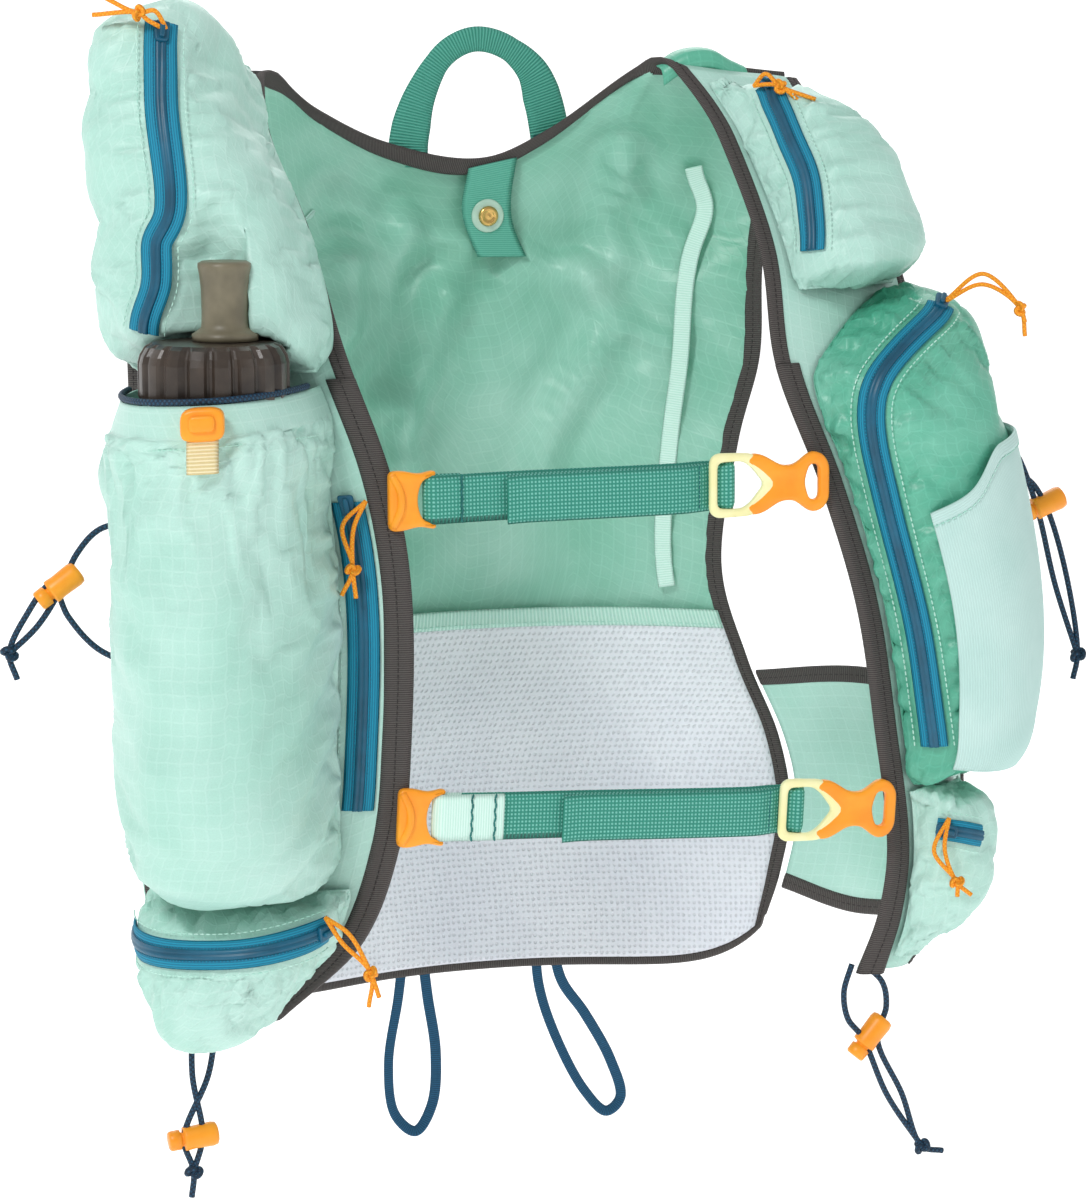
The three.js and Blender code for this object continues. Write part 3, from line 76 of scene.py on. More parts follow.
def addNode(tree, kind, settings=None, links=None):
    node = tree.nodes.new(kind)
    for key, value in (settings or {}).items():
        if isinstance(key, int) or key in node.inputs:
            node.inputs[key].default_value = value
        else:
            setattr(node, key, value)
    for key, (source, output) in (links or {}).items():
        tree.links.new(source.outputs[output], node.inputs[key])
    return node


def startMaterial(name, settings):
    material = bpy.data.materials.new(name)
    material.use_nodes = True
    tree = material.node_tree
    tree.nodes.clear()
    shader = addNode(tree, "ShaderNodeBsdfPrincipled", settings)
    addNode(tree, "ShaderNodeOutputMaterial", None, {"Surface": (shader, "BSDF")})
    return material, tree, shader


def rampOf(tree, source, output, stops):
    ramp = addNode(tree, "ShaderNodeValToRGB", None, {"Fac": (source, output)})
    band = ramp.color_ramp
    while len(band.elements) < len(stops):
        band.elements.new(0.5)
    for element, (position, colour) in zip(band.elements, stops):
        element.position = position
        element.color = toLinear(colour) if isinstance(colour, str) else (colour, colour, colour, 1)
    return ramp


def uvOf(tree, scale, turn=0.0):
    # the piece's own UV map holds metres, so scale is repeats a metre
    source = addNode(tree, "ShaderNodeUVMap", {"uv_map": "lay"})
    return addNode(tree, "ShaderNodeMapping", {"Scale": scale, "Rotation": (0, 0, turn)},
        {"Vector": (source, "UV")})


def bumpInto(tree, shader, heights):
    # heights: (node, output, distance in metres), stacked
    normal = None
    for source, output, distance in heights:
        links = {"Height": (source, output)}
        if normal:
            links["Normal"] = (normal, "Normal")
        normal = addNode(tree, "ShaderNodeBump", {"Strength": 1.0, "Distance": distance}, links)
    tree.links.new(normal.outputs["Normal"], shader.inputs["Normal"])


def cloudOver(tree, scale, detail=3.0):
    place = addNode(tree, "ShaderNodeTexCoord")
    return addNode(tree, "ShaderNodeTexNoise", {"Scale": scale, "Detail": detail, "Roughness": 0.55},
        {"Vector": (place, "Object")})


# thread grid of the ripstop, squares a metre
ripGrid = 190


def ripstop(name, dark, mid, light, roughness=0.5):
    # thin coated nylon: a fine plain weave with a square grid of thicker threads, softly glossy, with tonal
    # drift
    material, tree, shader = startMaterial(name, {"Roughness": roughness, "IOR": 1.5})
    cloud = cloudOver(tree, 14)
    tone = rampOf(tree, cloud, "Fac", [(0.3, dark), (0.52, mid), (0.75, light)])
    place = uvOf(tree, (ripGrid, ripGrid, 1))
    warp = addNode(tree, "ShaderNodeTexWave",
        {"wave_type": "BANDS", "bands_direction": "X", "wave_profile": "SIN", "Scale": 0.314,
        "Distortion": 0.0}, {"Vector": (place, "Vector")})
    weft = addNode(tree, "ShaderNodeTexWave",
        {"wave_type": "BANDS", "bands_direction": "Y", "wave_profile": "SIN", "Scale": 0.314,
        "Distortion": 0.0}, {"Vector": (place, "Vector")})
    lines = addNode(tree, "ShaderNodeMath", {"operation": "MAXIMUM"}, {0: (warp, "Fac"), 1: (weft, "Fac")})
    thread = rampOf(tree, lines, "Value", [(0.9, 0.0), (1.0, 1.0)])
    fine = uvOf(tree, (1400, 1400, 1))
    weave = addNode(tree, "ShaderNodeTexNoise", {"Scale": 1.0, "Detail": 2.0}, {"Vector": (fine, "Vector")})
    shade = addNode(tree, "ShaderNodeMixRGB", {"blend_type": "MULTIPLY", "Fac": 0.16},
        {"Color1": (tone, "Color"), "Color2": (weave, "Fac")})
    grain = addNode(tree, "ShaderNodeMixRGB", {"blend_type": "SOFT_LIGHT", "Fac": 0.08},
        {"Color1": (shade, "Color"), "Color2": (thread, "Color")})
    tree.links.new(grain.outputs["Color"], shader.inputs["Base Color"])
    bumpInto(tree, shader, [(thread, "Color", 0.00006), (weave, "Fac", 0.00005)])
    return material


def ribbedWebbing(name, dark, light, pitch, ribDepth=0.00035, roughness=0.75, ribAlong="Y"):
    # woven nylon or grosgrain: ribs across the band, pitch in metres, with painted shade darkening the valleys
    material, tree, shader = startMaterial(name, {"Roughness": roughness, "IOR": 1.45})
    place = uvOf(tree, (1 / pitch, 1 / pitch, 1))
    ribs = addNode(tree, "ShaderNodeTexWave",
        {"wave_type": "BANDS", "bands_direction": ribAlong, "Scale": 0.314, "Distortion": 0.0},
        {"Vector": (place, "Vector")})
    threads = uvOf(tree, (2600, 900, 1))
    fibre = addNode(tree, "ShaderNodeTexNoise", {"Scale": 1.0, "Detail": 2.0}, {"Vector": (threads, "Vector")})
    mixed = addNode(tree, "ShaderNodeMath", {"operation": "MULTIPLY_ADD", 1: 0.3},
        {0: (fibre, "Fac"), 2: (ribs, "Fac")})
    # painted shade: the colour follows the rib height, darker in the valleys between ribs
    colour = rampOf(tree, mixed, "Value", [(0.15, dark), (1.0, light)])
    tree.links.new(colour.outputs["Color"], shader.inputs["Base Color"])
    bumpInto(tree, shader, [(ribs, "Fac", ribDepth), (fibre, "Fac", 0.00012)])
    return material


def wovenWebbing(name, dark, light, pitch):
    # flat nylon webbing: rows of small raised picks across, each row parted lengthwise, light on dark as
    # painted highlight on the picks and painted shade between them
    material, tree, shader = startMaterial(name, {"Roughness": 0.7, "IOR": 1.45})
    place = uvOf(tree, (1 / pitch, 1 / pitch, 1))
    rows = addNode(tree, "ShaderNodeTexWave", {"bands_direction": "Y", "Scale": 0.314, "Distortion": 0.2},
        {"Vector": (place, "Vector")})
    picks = addNode(tree, "ShaderNodeTexWave", {"bands_direction": "X", "Scale": 0.314, "Distortion": 0.2},
        {"Vector": (place, "Vector")})
    both = addNode(tree, "ShaderNodeMath", {"operation": "MULTIPLY"}, {0: (rows, "Fac"), 1: (picks, "Fac")})
    # painted light and shade: the colour follows the pick height, lighter on the picks and darker between them
    colour = rampOf(tree, both, "Value", [(0.1, dark), (0.75, light)])
    tree.links.new(colour.outputs["Color"], shader.inputs["Base Color"])
    bumpInto(tree, shader, [(both, "Value", 0.0004)])
    return material


def braidedCord(name, dark, light, pitch, roughness=0.6):
    # braided sheath: two crossing sets of strands, told apart by a checker that follows the cord; the colour is
    # darker where the strands dip, as painted shade
    material, tree, shader = startMaterial(name, {"Roughness": roughness, "IOR": 1.45})
    one = addNode(tree, "ShaderNodeTexWave", {"bands_direction": "X", "Scale": 0.314, "Distortion": 0.3},
        {"Vector": (uvOf(tree, (1 / pitch, 1 / pitch, 1), 0.9), "Vector")})
    two = addNode(tree, "ShaderNodeTexWave", {"bands_direction": "X", "Scale": 0.314, "Distortion": 0.3},
        {"Vector": (uvOf(tree, (1 / pitch, 1 / pitch, 1), -0.9), "Vector")})
    cross = addNode(tree, "ShaderNodeMath", {"operation": "MULTIPLY"}, {0: (one, "Fac"), 1: (two, "Fac")})
    # painted shade: the colour follows the strand height, darker in the dips between strands
    colour = rampOf(tree, cross, "Value", [(0.05, dark), (0.5, light)])
    tree.links.new(colour.outputs["Color"], shader.inputs["Base Color"])
    bumpInto(tree, shader, [(cross, "Value", 0.0003)])
    return material


def mouldedPlastic(name, dark, light, roughness=0.38):
    # injection-moulded acetal or nylon: even colour, faint flow clouds and a fine spark-eroded grain
    settings = {"Roughness": roughness, "IOR": 1.48}
    material, tree, shader = startMaterial(name, settings)
    cloud = cloudOver(tree, 60)
    colour = rampOf(tree, cloud, "Fac", [(0.35, dark), (0.65, light)])
    tree.links.new(colour.outputs["Color"], shader.inputs["Base Color"])
    grain = cloudOver(tree, 2200, 1.0)
    bumpInto(tree, shader, [(grain, "Fac", 0.00004)])
    return material


def spacerMesh(name):
    # knitted spacer mesh: small hexagonal openings 2.6 mm apart in a pale grey-white face, the openings
    # darkened as painted shade
    material, tree, shader = startMaterial(name, {"Roughness": 0.8, "IOR": 1.45})
    place = uvOf(tree, (380, 330, 1))
    cells = addNode(tree, "ShaderNodeTexVoronoi", {"Scale": 1.0, "Randomness": 0.18},
        {"Vector": (place, "Vector")})
    hole = rampOf(tree, cells, "Distance", [(0.16, 0.0), (0.34, 1.0)])
    tone = rampOf(tree, cloudOver(tree, 9), "Fac", [(0.3, "#d9dce6"), (0.7, "#eceef4")])
    # painted shade: the colour is multiplied darker inside each opening
    shade = addNode(tree, "ShaderNodeMixRGB", {"blend_type": "MULTIPLY", "Fac": 0.12},
        {"Color1": (tone, "Color"), "Color2": (hole, "Color")})
    tree.links.new(shade.outputs["Color"], shader.inputs["Base Color"])
    bumpInto(tree, shader, [(hole, "Color", 0.0004)])
    return material


def stretchKnit(name, dark, light):
    # warp-knit elastane: fine vertical wales under 1 mm, drawn at 1.1 mm so that they show, with painted shade
    # between the wales
    material, tree, shader = startMaterial(name, {"Roughness": 0.7, "IOR": 1.45})
    wales = addNode(tree, "ShaderNodeTexWave", {"bands_direction": "X", "Scale": 0.314, "Distortion": 0.4},
        {"Vector": (uvOf(tree, (900, 900, 1)), "Vector")})
    cloud = cloudOver(tree, 25)
    tone = rampOf(tree, cloud, "Fac", [(0.3, dark), (0.7, light)])
    # painted shade: the colour is multiplied darker in the grooves between the wales
    shade = addNode(tree, "ShaderNodeMixRGB", {"blend_type": "MULTIPLY", "Fac": 0.1},
        {"Color1": (tone, "Color"), "Color2": (wales, "Fac")})
    tree.links.new(shade.outputs["Color"], shader.inputs["Base Color"])
    bumpInto(tree, shader, [(wales, "Fac", 0.0001)])
    return material


def plainMetal(name, colour, roughness):
    # plated brass: warm metal with light wear in its roughness
    material, tree, shader = startMaterial(name,
        {"Metallic": 1.0, "Base Color": toLinear(colour), "Roughness": roughness})
    wear = rampOf(tree, cloudOver(tree, 300), "Fac", [(0.3, roughness * 0.7), (0.7, roughness * 1.5)])
    tree.links.new(wear.outputs["Color"], shader.inputs["Roughness"])
    return material


finish = {
    "mint": ripstop("coatedMintRipstop", "#abdccd", "#bde6da", "#cbefe5", 0.42),
    # painted shade: the back's inner cloth is a darker copy of the mint ripstop, standing for the shade inside
    # the vest
    "inner": ripstop("innerShadedMintRipstop", "#7fc3aa", "#98d1bd", "#b2e0d0", 0.38),
    "side": ripstop("sideTealRipstop", "#4dab8e", "#64bca0", "#85cfb7", 0.36),
    "stretch": stretchKnit("paleStretchKnit", "#b7dbd5", "#c8e6e1"),
    "mesh": spacerMesh("whiteSpacerMesh"),
    "tape": ribbedWebbing("paleInnerTape", "#c0e8da", "#d9f5ec", 0.0011, 0.00008),
    "binding": ribbedWebbing("greyGrosgrain", "#332f2e", "#595452", 0.0009, 0.00012, 0.85),
    "zipTape": ribbedWebbing("wovenZipTape", "#056a8a", "#1190b0", 0.0010, 0.00008, 0.7, "X"),
    "zipCoil": mouldedPlastic("nylonZipCoil", "#084c66", "#0c5e7c", 0.4),
    "webbing": wovenWebbing("greenNylonWebbing", "#2f8a78", "#7fcfc0", 0.0016),
    "loopWebbing": ribbedWebbing("greenLoopWebbing", "#2a8573", "#5aae9b", 0.0013),
    "poleWebbing": ribbedWebbing("blueFlatWebbing", "#123f5c", "#1d5c82", 0.0010, 0.00012),
    "paleWebbing": ribbedWebbing("paleMintWebbing", "#aedccd", "#cdf0e4", 0.0017),
    "navyCord": braidedCord("navyElasticCord", "#0a2338", "#1c4a68", 0.0016),
    "orangeCord": braidedCord("orangePullCord", "#ee8d0b", "#ffb02a", 0.0014),
    "orange": mouldedPlastic("orangeAcetal", "#f8951a", "#fca323"),
    "cream": mouldedPlastic("creamAcetal", "#f0eaa9", "#f7f3c2"),
    "tabCream": ribbedWebbing("creamPullTape", "#d8c389", "#f4e7bd", 0.0014),
    "tabWebbing": ribbedWebbing("tealTabWebbing", "#4a9f8a", "#69b8a3", 0.0010, 0.0001),
    "smoke": mouldedPlastic("smokedPolypropylene", "#2c2520", "#453b33", 0.28),
    "bottle": mouldedPlastic("smokedSoftBottle", "#4a4641", "#5e5952", 0.25),
    "valve": mouldedPlastic("smokedSiliconeValve", "#6b6552", "#827b65", 0.42),
    "brass": plainMetal("platedBrass", "#d9b36c", 0.28),
    "ring": mouldedPlastic("clearSnapRing", "#a9c9b8", "#bfdccb", 0.25),
    "thread": mouldedPlastic("mintThread", "#a5d9c9", "#c4ecdf", 0.6),
    "darkThread": mouldedPlastic("darkThread", "#221e1d", "#312c2b", 0.6),
    "greenThread": mouldedPlastic("greenThread", "#0f5f5c", "#19746f", 0.6),
    "navyThread": mouldedPlastic("navyThread", "#125b78", "#1a6c8c", 0.6),
}
print("materials made")

# The vest's surfaces, in millimetres: the same tables as its solids
body = {"chestHalf": 140, "chestDepth": 100, "vestDrop": 400, "panelBow": 8}
trim = {"rail": 12, "neck": 8, "edge": 8, "wall": 2.8, "pocketStand": 2.7}
sideSign = {"right": -1, "left": 1}
# drop, inX, inY, outX, outY, outDrop: shares of vestDrop, chestHalf and chestDepth
frontRows = {
    "right": np.array([
        [0.022, -0.81, 0.36, -1.23, 0.4, 0.05], [0.087, -0.87, -0.08, -1.28, 0.22, 0.12],
        [0.178, -0.82, -0.42, -1.3, 0.04, 0.2], [0.298, -0.758, -0.64, -1.31, -0.06, 0.31],
        [0.434, -0.64, -0.77, -1.31, -0.12, 0.45], [0.552, -0.596, -0.83, -1.3, -0.16, 0.565],
        [0.716, -0.607, -0.85, -1.3, -0.18, 0.72], [0.806, -0.63, -0.81, -1.315, -0.18, 0.815],
        [0.917, -0.732, -0.71, -1.28, -0.2, 0.93], [0.995, -0.95, -0.6, -1.22, -0.3, 1.01]]),
    "left": np.array([
        [0.012, 0.48, 0.4, 0.93, 0.44, 0.03], [0.058, 0.543, 0.2, 0.99, 0.3, 0.075],
        [0.097, 0.562, 0, 1.04, 0.16, 0.115], [0.213, 0.58, -0.44, 1.13, -0.06, 0.215],
        [0.33, 0.571, -0.67, 1.19, -0.2, 0.33], [0.455, 0.686, -0.79, 1.23, -0.27, 0.455],
        [0.583, 0.793, -0.84, 1.27, -0.3, 0.583], [0.713, 0.857, -0.84, 1.3, -0.32, 0.713],
        [0.848, 0.92, -0.79, 1.31, -0.35, 0.85], [0.928, 0.907, -0.73, 1.24, -0.43, 0.935],
        [0.998, 0.85, -0.65, 1.06, -0.55, 1]]),
}
# midX, half, midY, sideY, midDrop, sideDrop
backRows = np.array([
    [-0.057, 1, 0.97, 0.66, 0.19, 0.15], [-0.014, 0.91, 0.98, 0.62, 0.26, 0.25], [0, 0.879, 0.99, 0.58, 0.35,
        0.35],
    [0, 0.814, 1, 0.62, 0.45, 0.45], [0, 0.768, 1.01, 0.66, 0.59, 0.59], [0, 0.85, 1.03, 0.6, 0.7, 0.7],
    [0, 0.94, 1.04, 0.5, 0.787, 0.787], [0, 0.975, 1.05, 0.45, 0.875, 0.87], [0, 0.95, 1.07, 0.48, 0.975,
        0.945],
    [0, 0.91, 1.08, 0.52, 1.075, 1]])
# s, x, y, drop along the back's top edge
topRows = np.array([
    [-1, -1.23, 0.43, 0.052], [-0.6, -0.81, 0.39, 0.024], [-0.45, -0.6, 0.65, 0.066], [-0.25, -0.33, 0.86,
        0.106],
    [0, 0, 0.95, 0.126], [0.2, 0.22, 0.86, 0.092], [0.36, 0.42, 0.58, 0.028], [0.45, 0.48, 0.43, 0.014],
    [1, 0.93, 0.47, 0.032]])
# right x, left x, y, top, bottom of a wing's two middle columns
wingRows = np.array([[1.06, 1.12, 0.22, 0.7, 0.985], [1.25, 1.37, -0.04, 0.715, 0.98]])
wing = {"top": 0.715, "bottom": 0.965}
# gaps of a wing to the back and to the front panel, in millimetres
seam = {"back": 1.0, "front": 0.35}


def throughRows(knots, values):
    # cubic pieces between rows whose slope at a row is its neighbours' slope
    knots, values = np.asarray(knots, float), np.asarray(values, float)
    last = len(knots) - 1
    order = np.arange(last + 1)
    before, after = np.maximum(order - 1, 0), np.minimum(order + 1, last)
    slopes = (values[after] - values[before]) / (knots[after] - knots[before]).reshape(-1,
        *[1] * (values.ndim - 1))

    def at(x):
        x = np.asarray(x, float)
        k = np.searchsorted(knots[1:-1], x, side="left")
        span = knots[k + 1] - knots[k]
        t = (x - knots[k]) / span
        bend, rise, fall = t * t * (3 - 2 * t), t * (1 - t) ** 2 * span, t * t * (t - 1) * span
        bend, rise, fall = bend[..., None], rise[..., None], fall[..., None]
        return values[k] * (1 - bend) + values[k + 1] * bend + rise * slopes[k] + fall * slopes[k + 1]

    return at


def stacked(x, y, z):
    return np.stack(np.broadcast_arrays(x, y, z), -1)


def fromShares(x, y, drop):
    return stacked(x * body["chestHalf"], y * body["chestDepth"], -drop * body["vestDrop"])


def unit(v):
    return v / np.maximum(np.linalg.norm(v, axis=-1, keepdims=True), 1e-9)


def lerp(a, b, t):
    return a + (b - a) * t


frontAt = {side: throughRows(rows[:, 0], rows[:, 1:]) for side, rows in frontRows.items()}


def panelEdges(side, drop):
    row = frontAt[side](drop)
    return fromShares(row[..., 0], row[..., 1], drop), fromShares(row[..., 2], row[..., 3], row[..., 4])


def panelWidth(side, drop):
    inner, outer = panelEdges(side, drop)
    return np.linalg.norm(outer - inner, axis=-1)


def panelPoint(side, drop, across):
    # straight from the inner to the outer edge, bowed forwards by a parabola
    drop, across = np.broadcast_arrays(np.asarray(drop, float), np.asarray(across, float))
    inner, outer = panelEdges(side, drop)
    chord = outer - inner
    share = (across / np.linalg.norm(chord, axis=-1))[..., None]
    outward = unit(stacked(chord[..., 1], -chord[..., 0], 0 * drop))
    outward = np.where(outward[..., 1:2] > 0, -outward, outward)
    return inner + chord * share + outward * body["panelBow"] * 4 * share * (1 - share)


topAt = throughRows(topRows[:, 0], topRows[:, 1:])


def backPoint(s, v):
    # stations down the back, each an arch from side to side, joined by smooth pieces
    s, v = np.broadcast_arrays(np.asarray(s, float), np.asarray(v, float))
    top = topAt(s)
    stations = [fromShares(top[..., 0], top[..., 1], top[..., 2])]
    count = len(backRows)
    for k, (midX, half, midY, sideY, midDrop, sideDrop) in enumerate(backRows):
        bulge = np.abs(s) ** 2.2
        corner = np.abs(s) ** (8 if k == count - 1 else 2.2)
        stations.append(fromShares(midX + s * half, lerp(midY, sideY, bulge), lerp(midDrop, sideDrop, corner)))
    stations = np.stack(stations)
    order = np.arange(count + 1)
    before, after = np.maximum(order - 1, 0), np.minimum(order + 1, count)
    slopes = (stations[after] - stations[before]) / (after - before).reshape(-1, *[1] * (stations.ndim - 1))
    x = v * count
    k = np.clip(np.ceil(x).astype(int) - 1, 0, count - 1)
    t = (x - k)[..., None]
    pick = lambda table, index: np.take_along_axis(table, index[None, ..., None], 0)[0]
    bend = t * t * (3 - 2 * t)
    point = pick(stations, k) * (1 - bend) + pick(stations, k + 1) * bend
    return point + t * (1 - t) ** 2 * pick(slopes, k) + t * t * (t - 1) * pick(slopes, k + 1)


def throughPoints(points, t):
    # centripetal Catmull-Rom through points (n, ..., 3) at t (m,), 0 to 1 over all of them
    points = np.asarray(points, float)
    count = len(points)
    ends = [2 * points[0] - points[1], 2 * points[-1] - points[-2]]
    padded = np.concatenate([ends[0][None], points, ends[1][None]])
    x = np.clip(np.asarray(t, float), 0, 1) * (count - 1)
    k = np.clip(np.floor(x).astype(int), 0, count - 2)
    w = (x - k).reshape(-1, *[1] * (points.ndim - 1))
    p0, p1, p2, p3 = (padded[k + i] for i in range(4))
    gap = lambda a, b: np.maximum(np.sum((a - b) ** 2, -1, keepdims=True) ** 0.25, 1e-4)
    d0, d1, d2 = gap(p0, p1), gap(p1, p2), gap(p2, p3)
    m1 = ((p1 - p0) / d0 - (p2 - p0) / (d0 + d1) + (p2 - p1) / d1) * d1
    m2 = ((p2 - p1) / d1 - (p3 - p1) / (d1 + d2) + (p3 - p2) / d2) * d1
    return p1 + m1 * w + (3 * (p2 - p1) - 2 * m1 - m2) * w ** 2 + (2 * (p1 - p2) + m1 + m2) * w ** 3


def paramWhere(test, low, high):
    # bisection on whole arrays: the last parameter where the test holds
    for _ in range(24):
        middle = (low + high) / 2
        holds = test(middle)
        low, high = np.where(holds, middle, low), np.where(holds, high, middle)
    return low


def wingPoint(side, a, b):
    # from the back's edge through two bulging columns to the front panel's outer edge; a (m,), b (n,)
    a, b = np.asarray(a, float), np.asarray(b, float)
    sign, drop = sideSign[side], lerp(wing["top"], wing["bottom"], b)
    v = paramWhere(lambda m: backPoint(sign + 0 * m, m)[..., 2] > -drop * body["vestDrop"], 0.4 + 0 * drop,
        1 + 0 * drop)
    start = backPoint(sign + 0 * v, v)
    end = panelPoint(side, drop, panelWidth(side, drop))
    column = 0 if side == "right" else 1
    middle = [fromShares(sign * row[column], row[2], lerp(row[3], row[4], b)) for row in wingRows]
    start = start + unit(middle[0] - start) * seam["back"]
    end = end + unit(middle[1] - end) * seam["front"]
    return throughPoints(np.stack([start, *middle, end]), a)


# Pockets: drop, from, to, depth, up a row; each section is a superellipse arch raised along lift
pockets = {
    "right_shoulder_pocket": {"side": "right", "depth": 45, "lift": (-0.6, -0.76, 0.25), "boxy": 4, "rows": [
        [0.028, 0.08, 0.72, 0.1, 0.3], [0.04, 0.02, 0.76, 1.3, 0.35], [0.087, 0, 0.86, 1.3, 0.15],
        [0.178, 0, 0.95, 1.05, 0], [0.25, 0, 0.98, 0.95, 0], [0.3, 0.04, 0.95, 0.8, -0.1], [0.322, 0.14, 0.85,
            0.08, -0.1]]},
    "right_bottle_pocket": {"side": "right", "depth": 78, "lift": (-0.47, -0.88, 0), "boxy": 2.4, "rows": [
        [0.335, 0.14, 0.92, 0.95, 0], [0.37, 0.14, 0.98, 1, 0], [0.44, 0.22, 1.01, 1.02, 0], [0.6, 0.25, 1.02,
            0.98, 0],
        [0.72, 0.25, 1.02, 0.95, 0], [0.79, 0.22, 0.98, 0.82, 0], [0.832, 0.22, 0.92, 0.55, -0.1], [0.846, 0.27,
            0.88, 0.06, 0]]},
    "right_bottom_pocket": {"side": "right", "depth": 44, "lift": (-0.52, -0.84, -0.12), "boxy": 2.6, "rows": [
        [0.852, 0.14, 0.94, 0.06, 0], [0.863, 0.13, 0.97, 0.75, 0], [0.9, 0.13, 0.98, 1, -0.05],
        [0.95, 0.16, 0.95, 0.95, -0.15], [0.98, 0.24, 0.86, 0.6, -0.2], [0.992, 0.34, 0.74, 0.06, -0.1]]},
    "left_shoulder_pocket": {"side": "left", "depth": 31, "lift": (0.4, -0.88, 0.2), "boxy": 3, "rows": [
        [0.04, 0.14, 0.5, 0.1, 0], [0.06, 0.12, 0.68, 1, 0], [0.1, 0.12, 0.86, 1.15, 0], [0.18, 0.12, 0.9, 1.02,
            0],
        [0.235, 0.13, 0.86, 0.85, 0], [0.255, 0.16, 0.8, 0.1, 0]]},
    "left_side_pocket": {"side": "left", "depth": 42, "lift": (0.6, -0.8, 0), "boxy": 2.3, "rows": [
        [0.262, 0.66, 0.95, 0.08, 0.4], [0.282, 0.46, 1, 0.75, 0.1], [0.32, 0.24, 1.02, 0.95, 0], [0.35, 0.14,
            1.03, 1, 0],
        [0.45, 0.14, 1.04, 1.04, 0], [0.6, 0.15, 1.03, 1, 0], [0.7, 0.16, 1, 0.85, 0], [0.76, 0.17, 0.98, 0.6,
            0],
        [0.782, 0.2, 0.94, 0.06, 0]]},
    "left_bottom_pocket": {"side": "left", "depth": 22, "lift": (0.5, -0.86, 0), "boxy": 2.6, "rows": [
        [0.79, 0.17, 0.7, 0.08, 0], [0.805, 0.17, 0.74, 0.8, 0], [0.87, 0.18, 0.76, 1, 0], [0.93, 0.22, 0.74,
            0.8, 0],
        [0.975, 0.3, 0.68, 0.1, 0]]},
}
bottle = {"share": 0.47, "stand": 41, "radius": 28, "height": 150, "capRadius": 30, "capHeight": 24,
    "capTop": -114,
          "valveRadius": 10.5, "valveHeight": 31}


def bottleFoot():
    pocket = pockets["right_bottle_pocket"]
    drop = pocket["rows"][0][0]
    beside = panelPoint("right", drop, bottle["share"] * panelWidth("right", drop))
    return beside + np.array(pocket["lift"]) * bottle["stand"]


bottleAxis = bottleFoot()


def pushedIn(point, lift):
    # the cloth gives way to the bottle's cap and valve: pushed back along lift, in a slope that eases out
    # beside and above them
    back = unit(np.array([lift[0], lift[1], 0.0]))
    side = np.array([-back[1], back[0], 0.0])
    height = (point[..., 2] - bottle["capTop"]) / bottle["valveHeight"]
    radius = lerp(bottle["capRadius"], bottle["valveRadius"] + 3, np.clip((height + 0.05) * 6, 0, 1)) + 1.5
    offset = (point - bottleAxis) * [1, 1, 0]
    aside = np.abs(offset @ side)
    reach = np.where(aside < radius, np.sqrt(np.maximum(radius ** 2 - aside ** 2, 0)), (radius - aside) * 1.1)
    ease = np.clip((1.9 - height) / 0.8, 0, 1)
    return point - back * (np.maximum(offset @ back + reach, 0) * ease * ease * (3 - 2 * ease))[..., None]


def pocketPoint(name, s, b):
    pocket = pockets[name]
    rows = np.array(pocket["rows"], float)
    s, b = np.broadcast_arrays(np.asarray(s, float), np.asarray(b, float))
    drop = lerp(rows[0, 0], rows[-1, 0], b)
    row = throughRows(rows[:, 0], rows[:, 1:])(drop)
    angle, power = np.pi * (1 - s), 2 / pocket["boxy"]
    across = np.sign(np.cos(angle)) * np.abs(np.cos(angle)) ** power
    rise = np.maximum(np.sin(angle), 0) ** power * np.maximum(row[..., 2], 0) * pocket["depth"]
    place = lerp(row[..., 0], row[..., 1], (1 + across) / 2) * panelWidth(pocket["side"], drop)
    point = panelPoint(pocket["side"], drop, place)
    point = point + np.array(pocket["lift"]) * (trim["pocketStand"] + rise)[..., None]
    point = point + stacked(0 * rise, 0 * rise, row[..., 3] * rise)
    return pushedIn(point, pocket["lift"]) if name == "right_shoulder_pocket" else point


bagRows = np.array([[0.1, 0.5, 0.08], [0.15, 0.66, 0.6], [0.3, 0.76, 0.9], [0.55, 0.8, 1], [0.8, 0.8, 1],
    [0.91, 0.76, 0.75],
                    [0.945, 0.7, 0.08]])
bagDepth = 38


def bagPoint(s, b):
    s, b = np.broadcast_arrays(np.asarray(s, float), np.asarray(b, float))
    v = lerp(bagRows[0, 0], bagRows[-1, 0], b)
    row = throughRows(bagRows[:, 0], bagRows[:, 1:])(v)
    angle = np.pi * (1 - s)
    across = np.sign(np.cos(angle)) * np.abs(np.cos(angle)) ** 0.8
    rise = np.maximum(np.sin(angle), 0) ** 0.8 * np.maximum(row[..., 1], 0) * bagDepth
    point = backPoint(across * row[..., 0], v)
    return point + stacked(0 * rise, trim["pocketStand"] + rise, 0 * rise)


# Mesh helpers
pieces = {}


def makePiece(name, verts, faces, material, uv=None, replaces=(), slot=None, smooth=True):
    # verts in millimetres; faces a list of index arrays, each (n, corners)
    mesh = bpy.data.meshes.new(name)
    faceList = [face for block in faces for face in np.asarray(block).tolist()]
    mesh.from_pydata((np.asarray(verts) * mm).tolist(), [], faceList)
    if uv is not None:
        layer = mesh.uv_layers.new(name="lay")
        loops = np.zeros(len(mesh.loops), int)
        mesh.loops.foreach_get("vertex_index", loops)
        layer.data.foreach_set("uv", (np.asarray(uv)[loops] * mm).ravel())
    if smooth:
        mesh.polygons.foreach_set("use_smooth", np.ones(len(mesh.polygons), bool))
    mesh.materials.append(finish[material])
    mesh.update()
    piece = bpy.data.objects.new(name, mesh)
    bpy.context.scene.collection.objects.link(piece)
    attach(piece, "root")
    if replaces:
        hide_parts(*replaces)
    pieces[name] = piece
    return piece


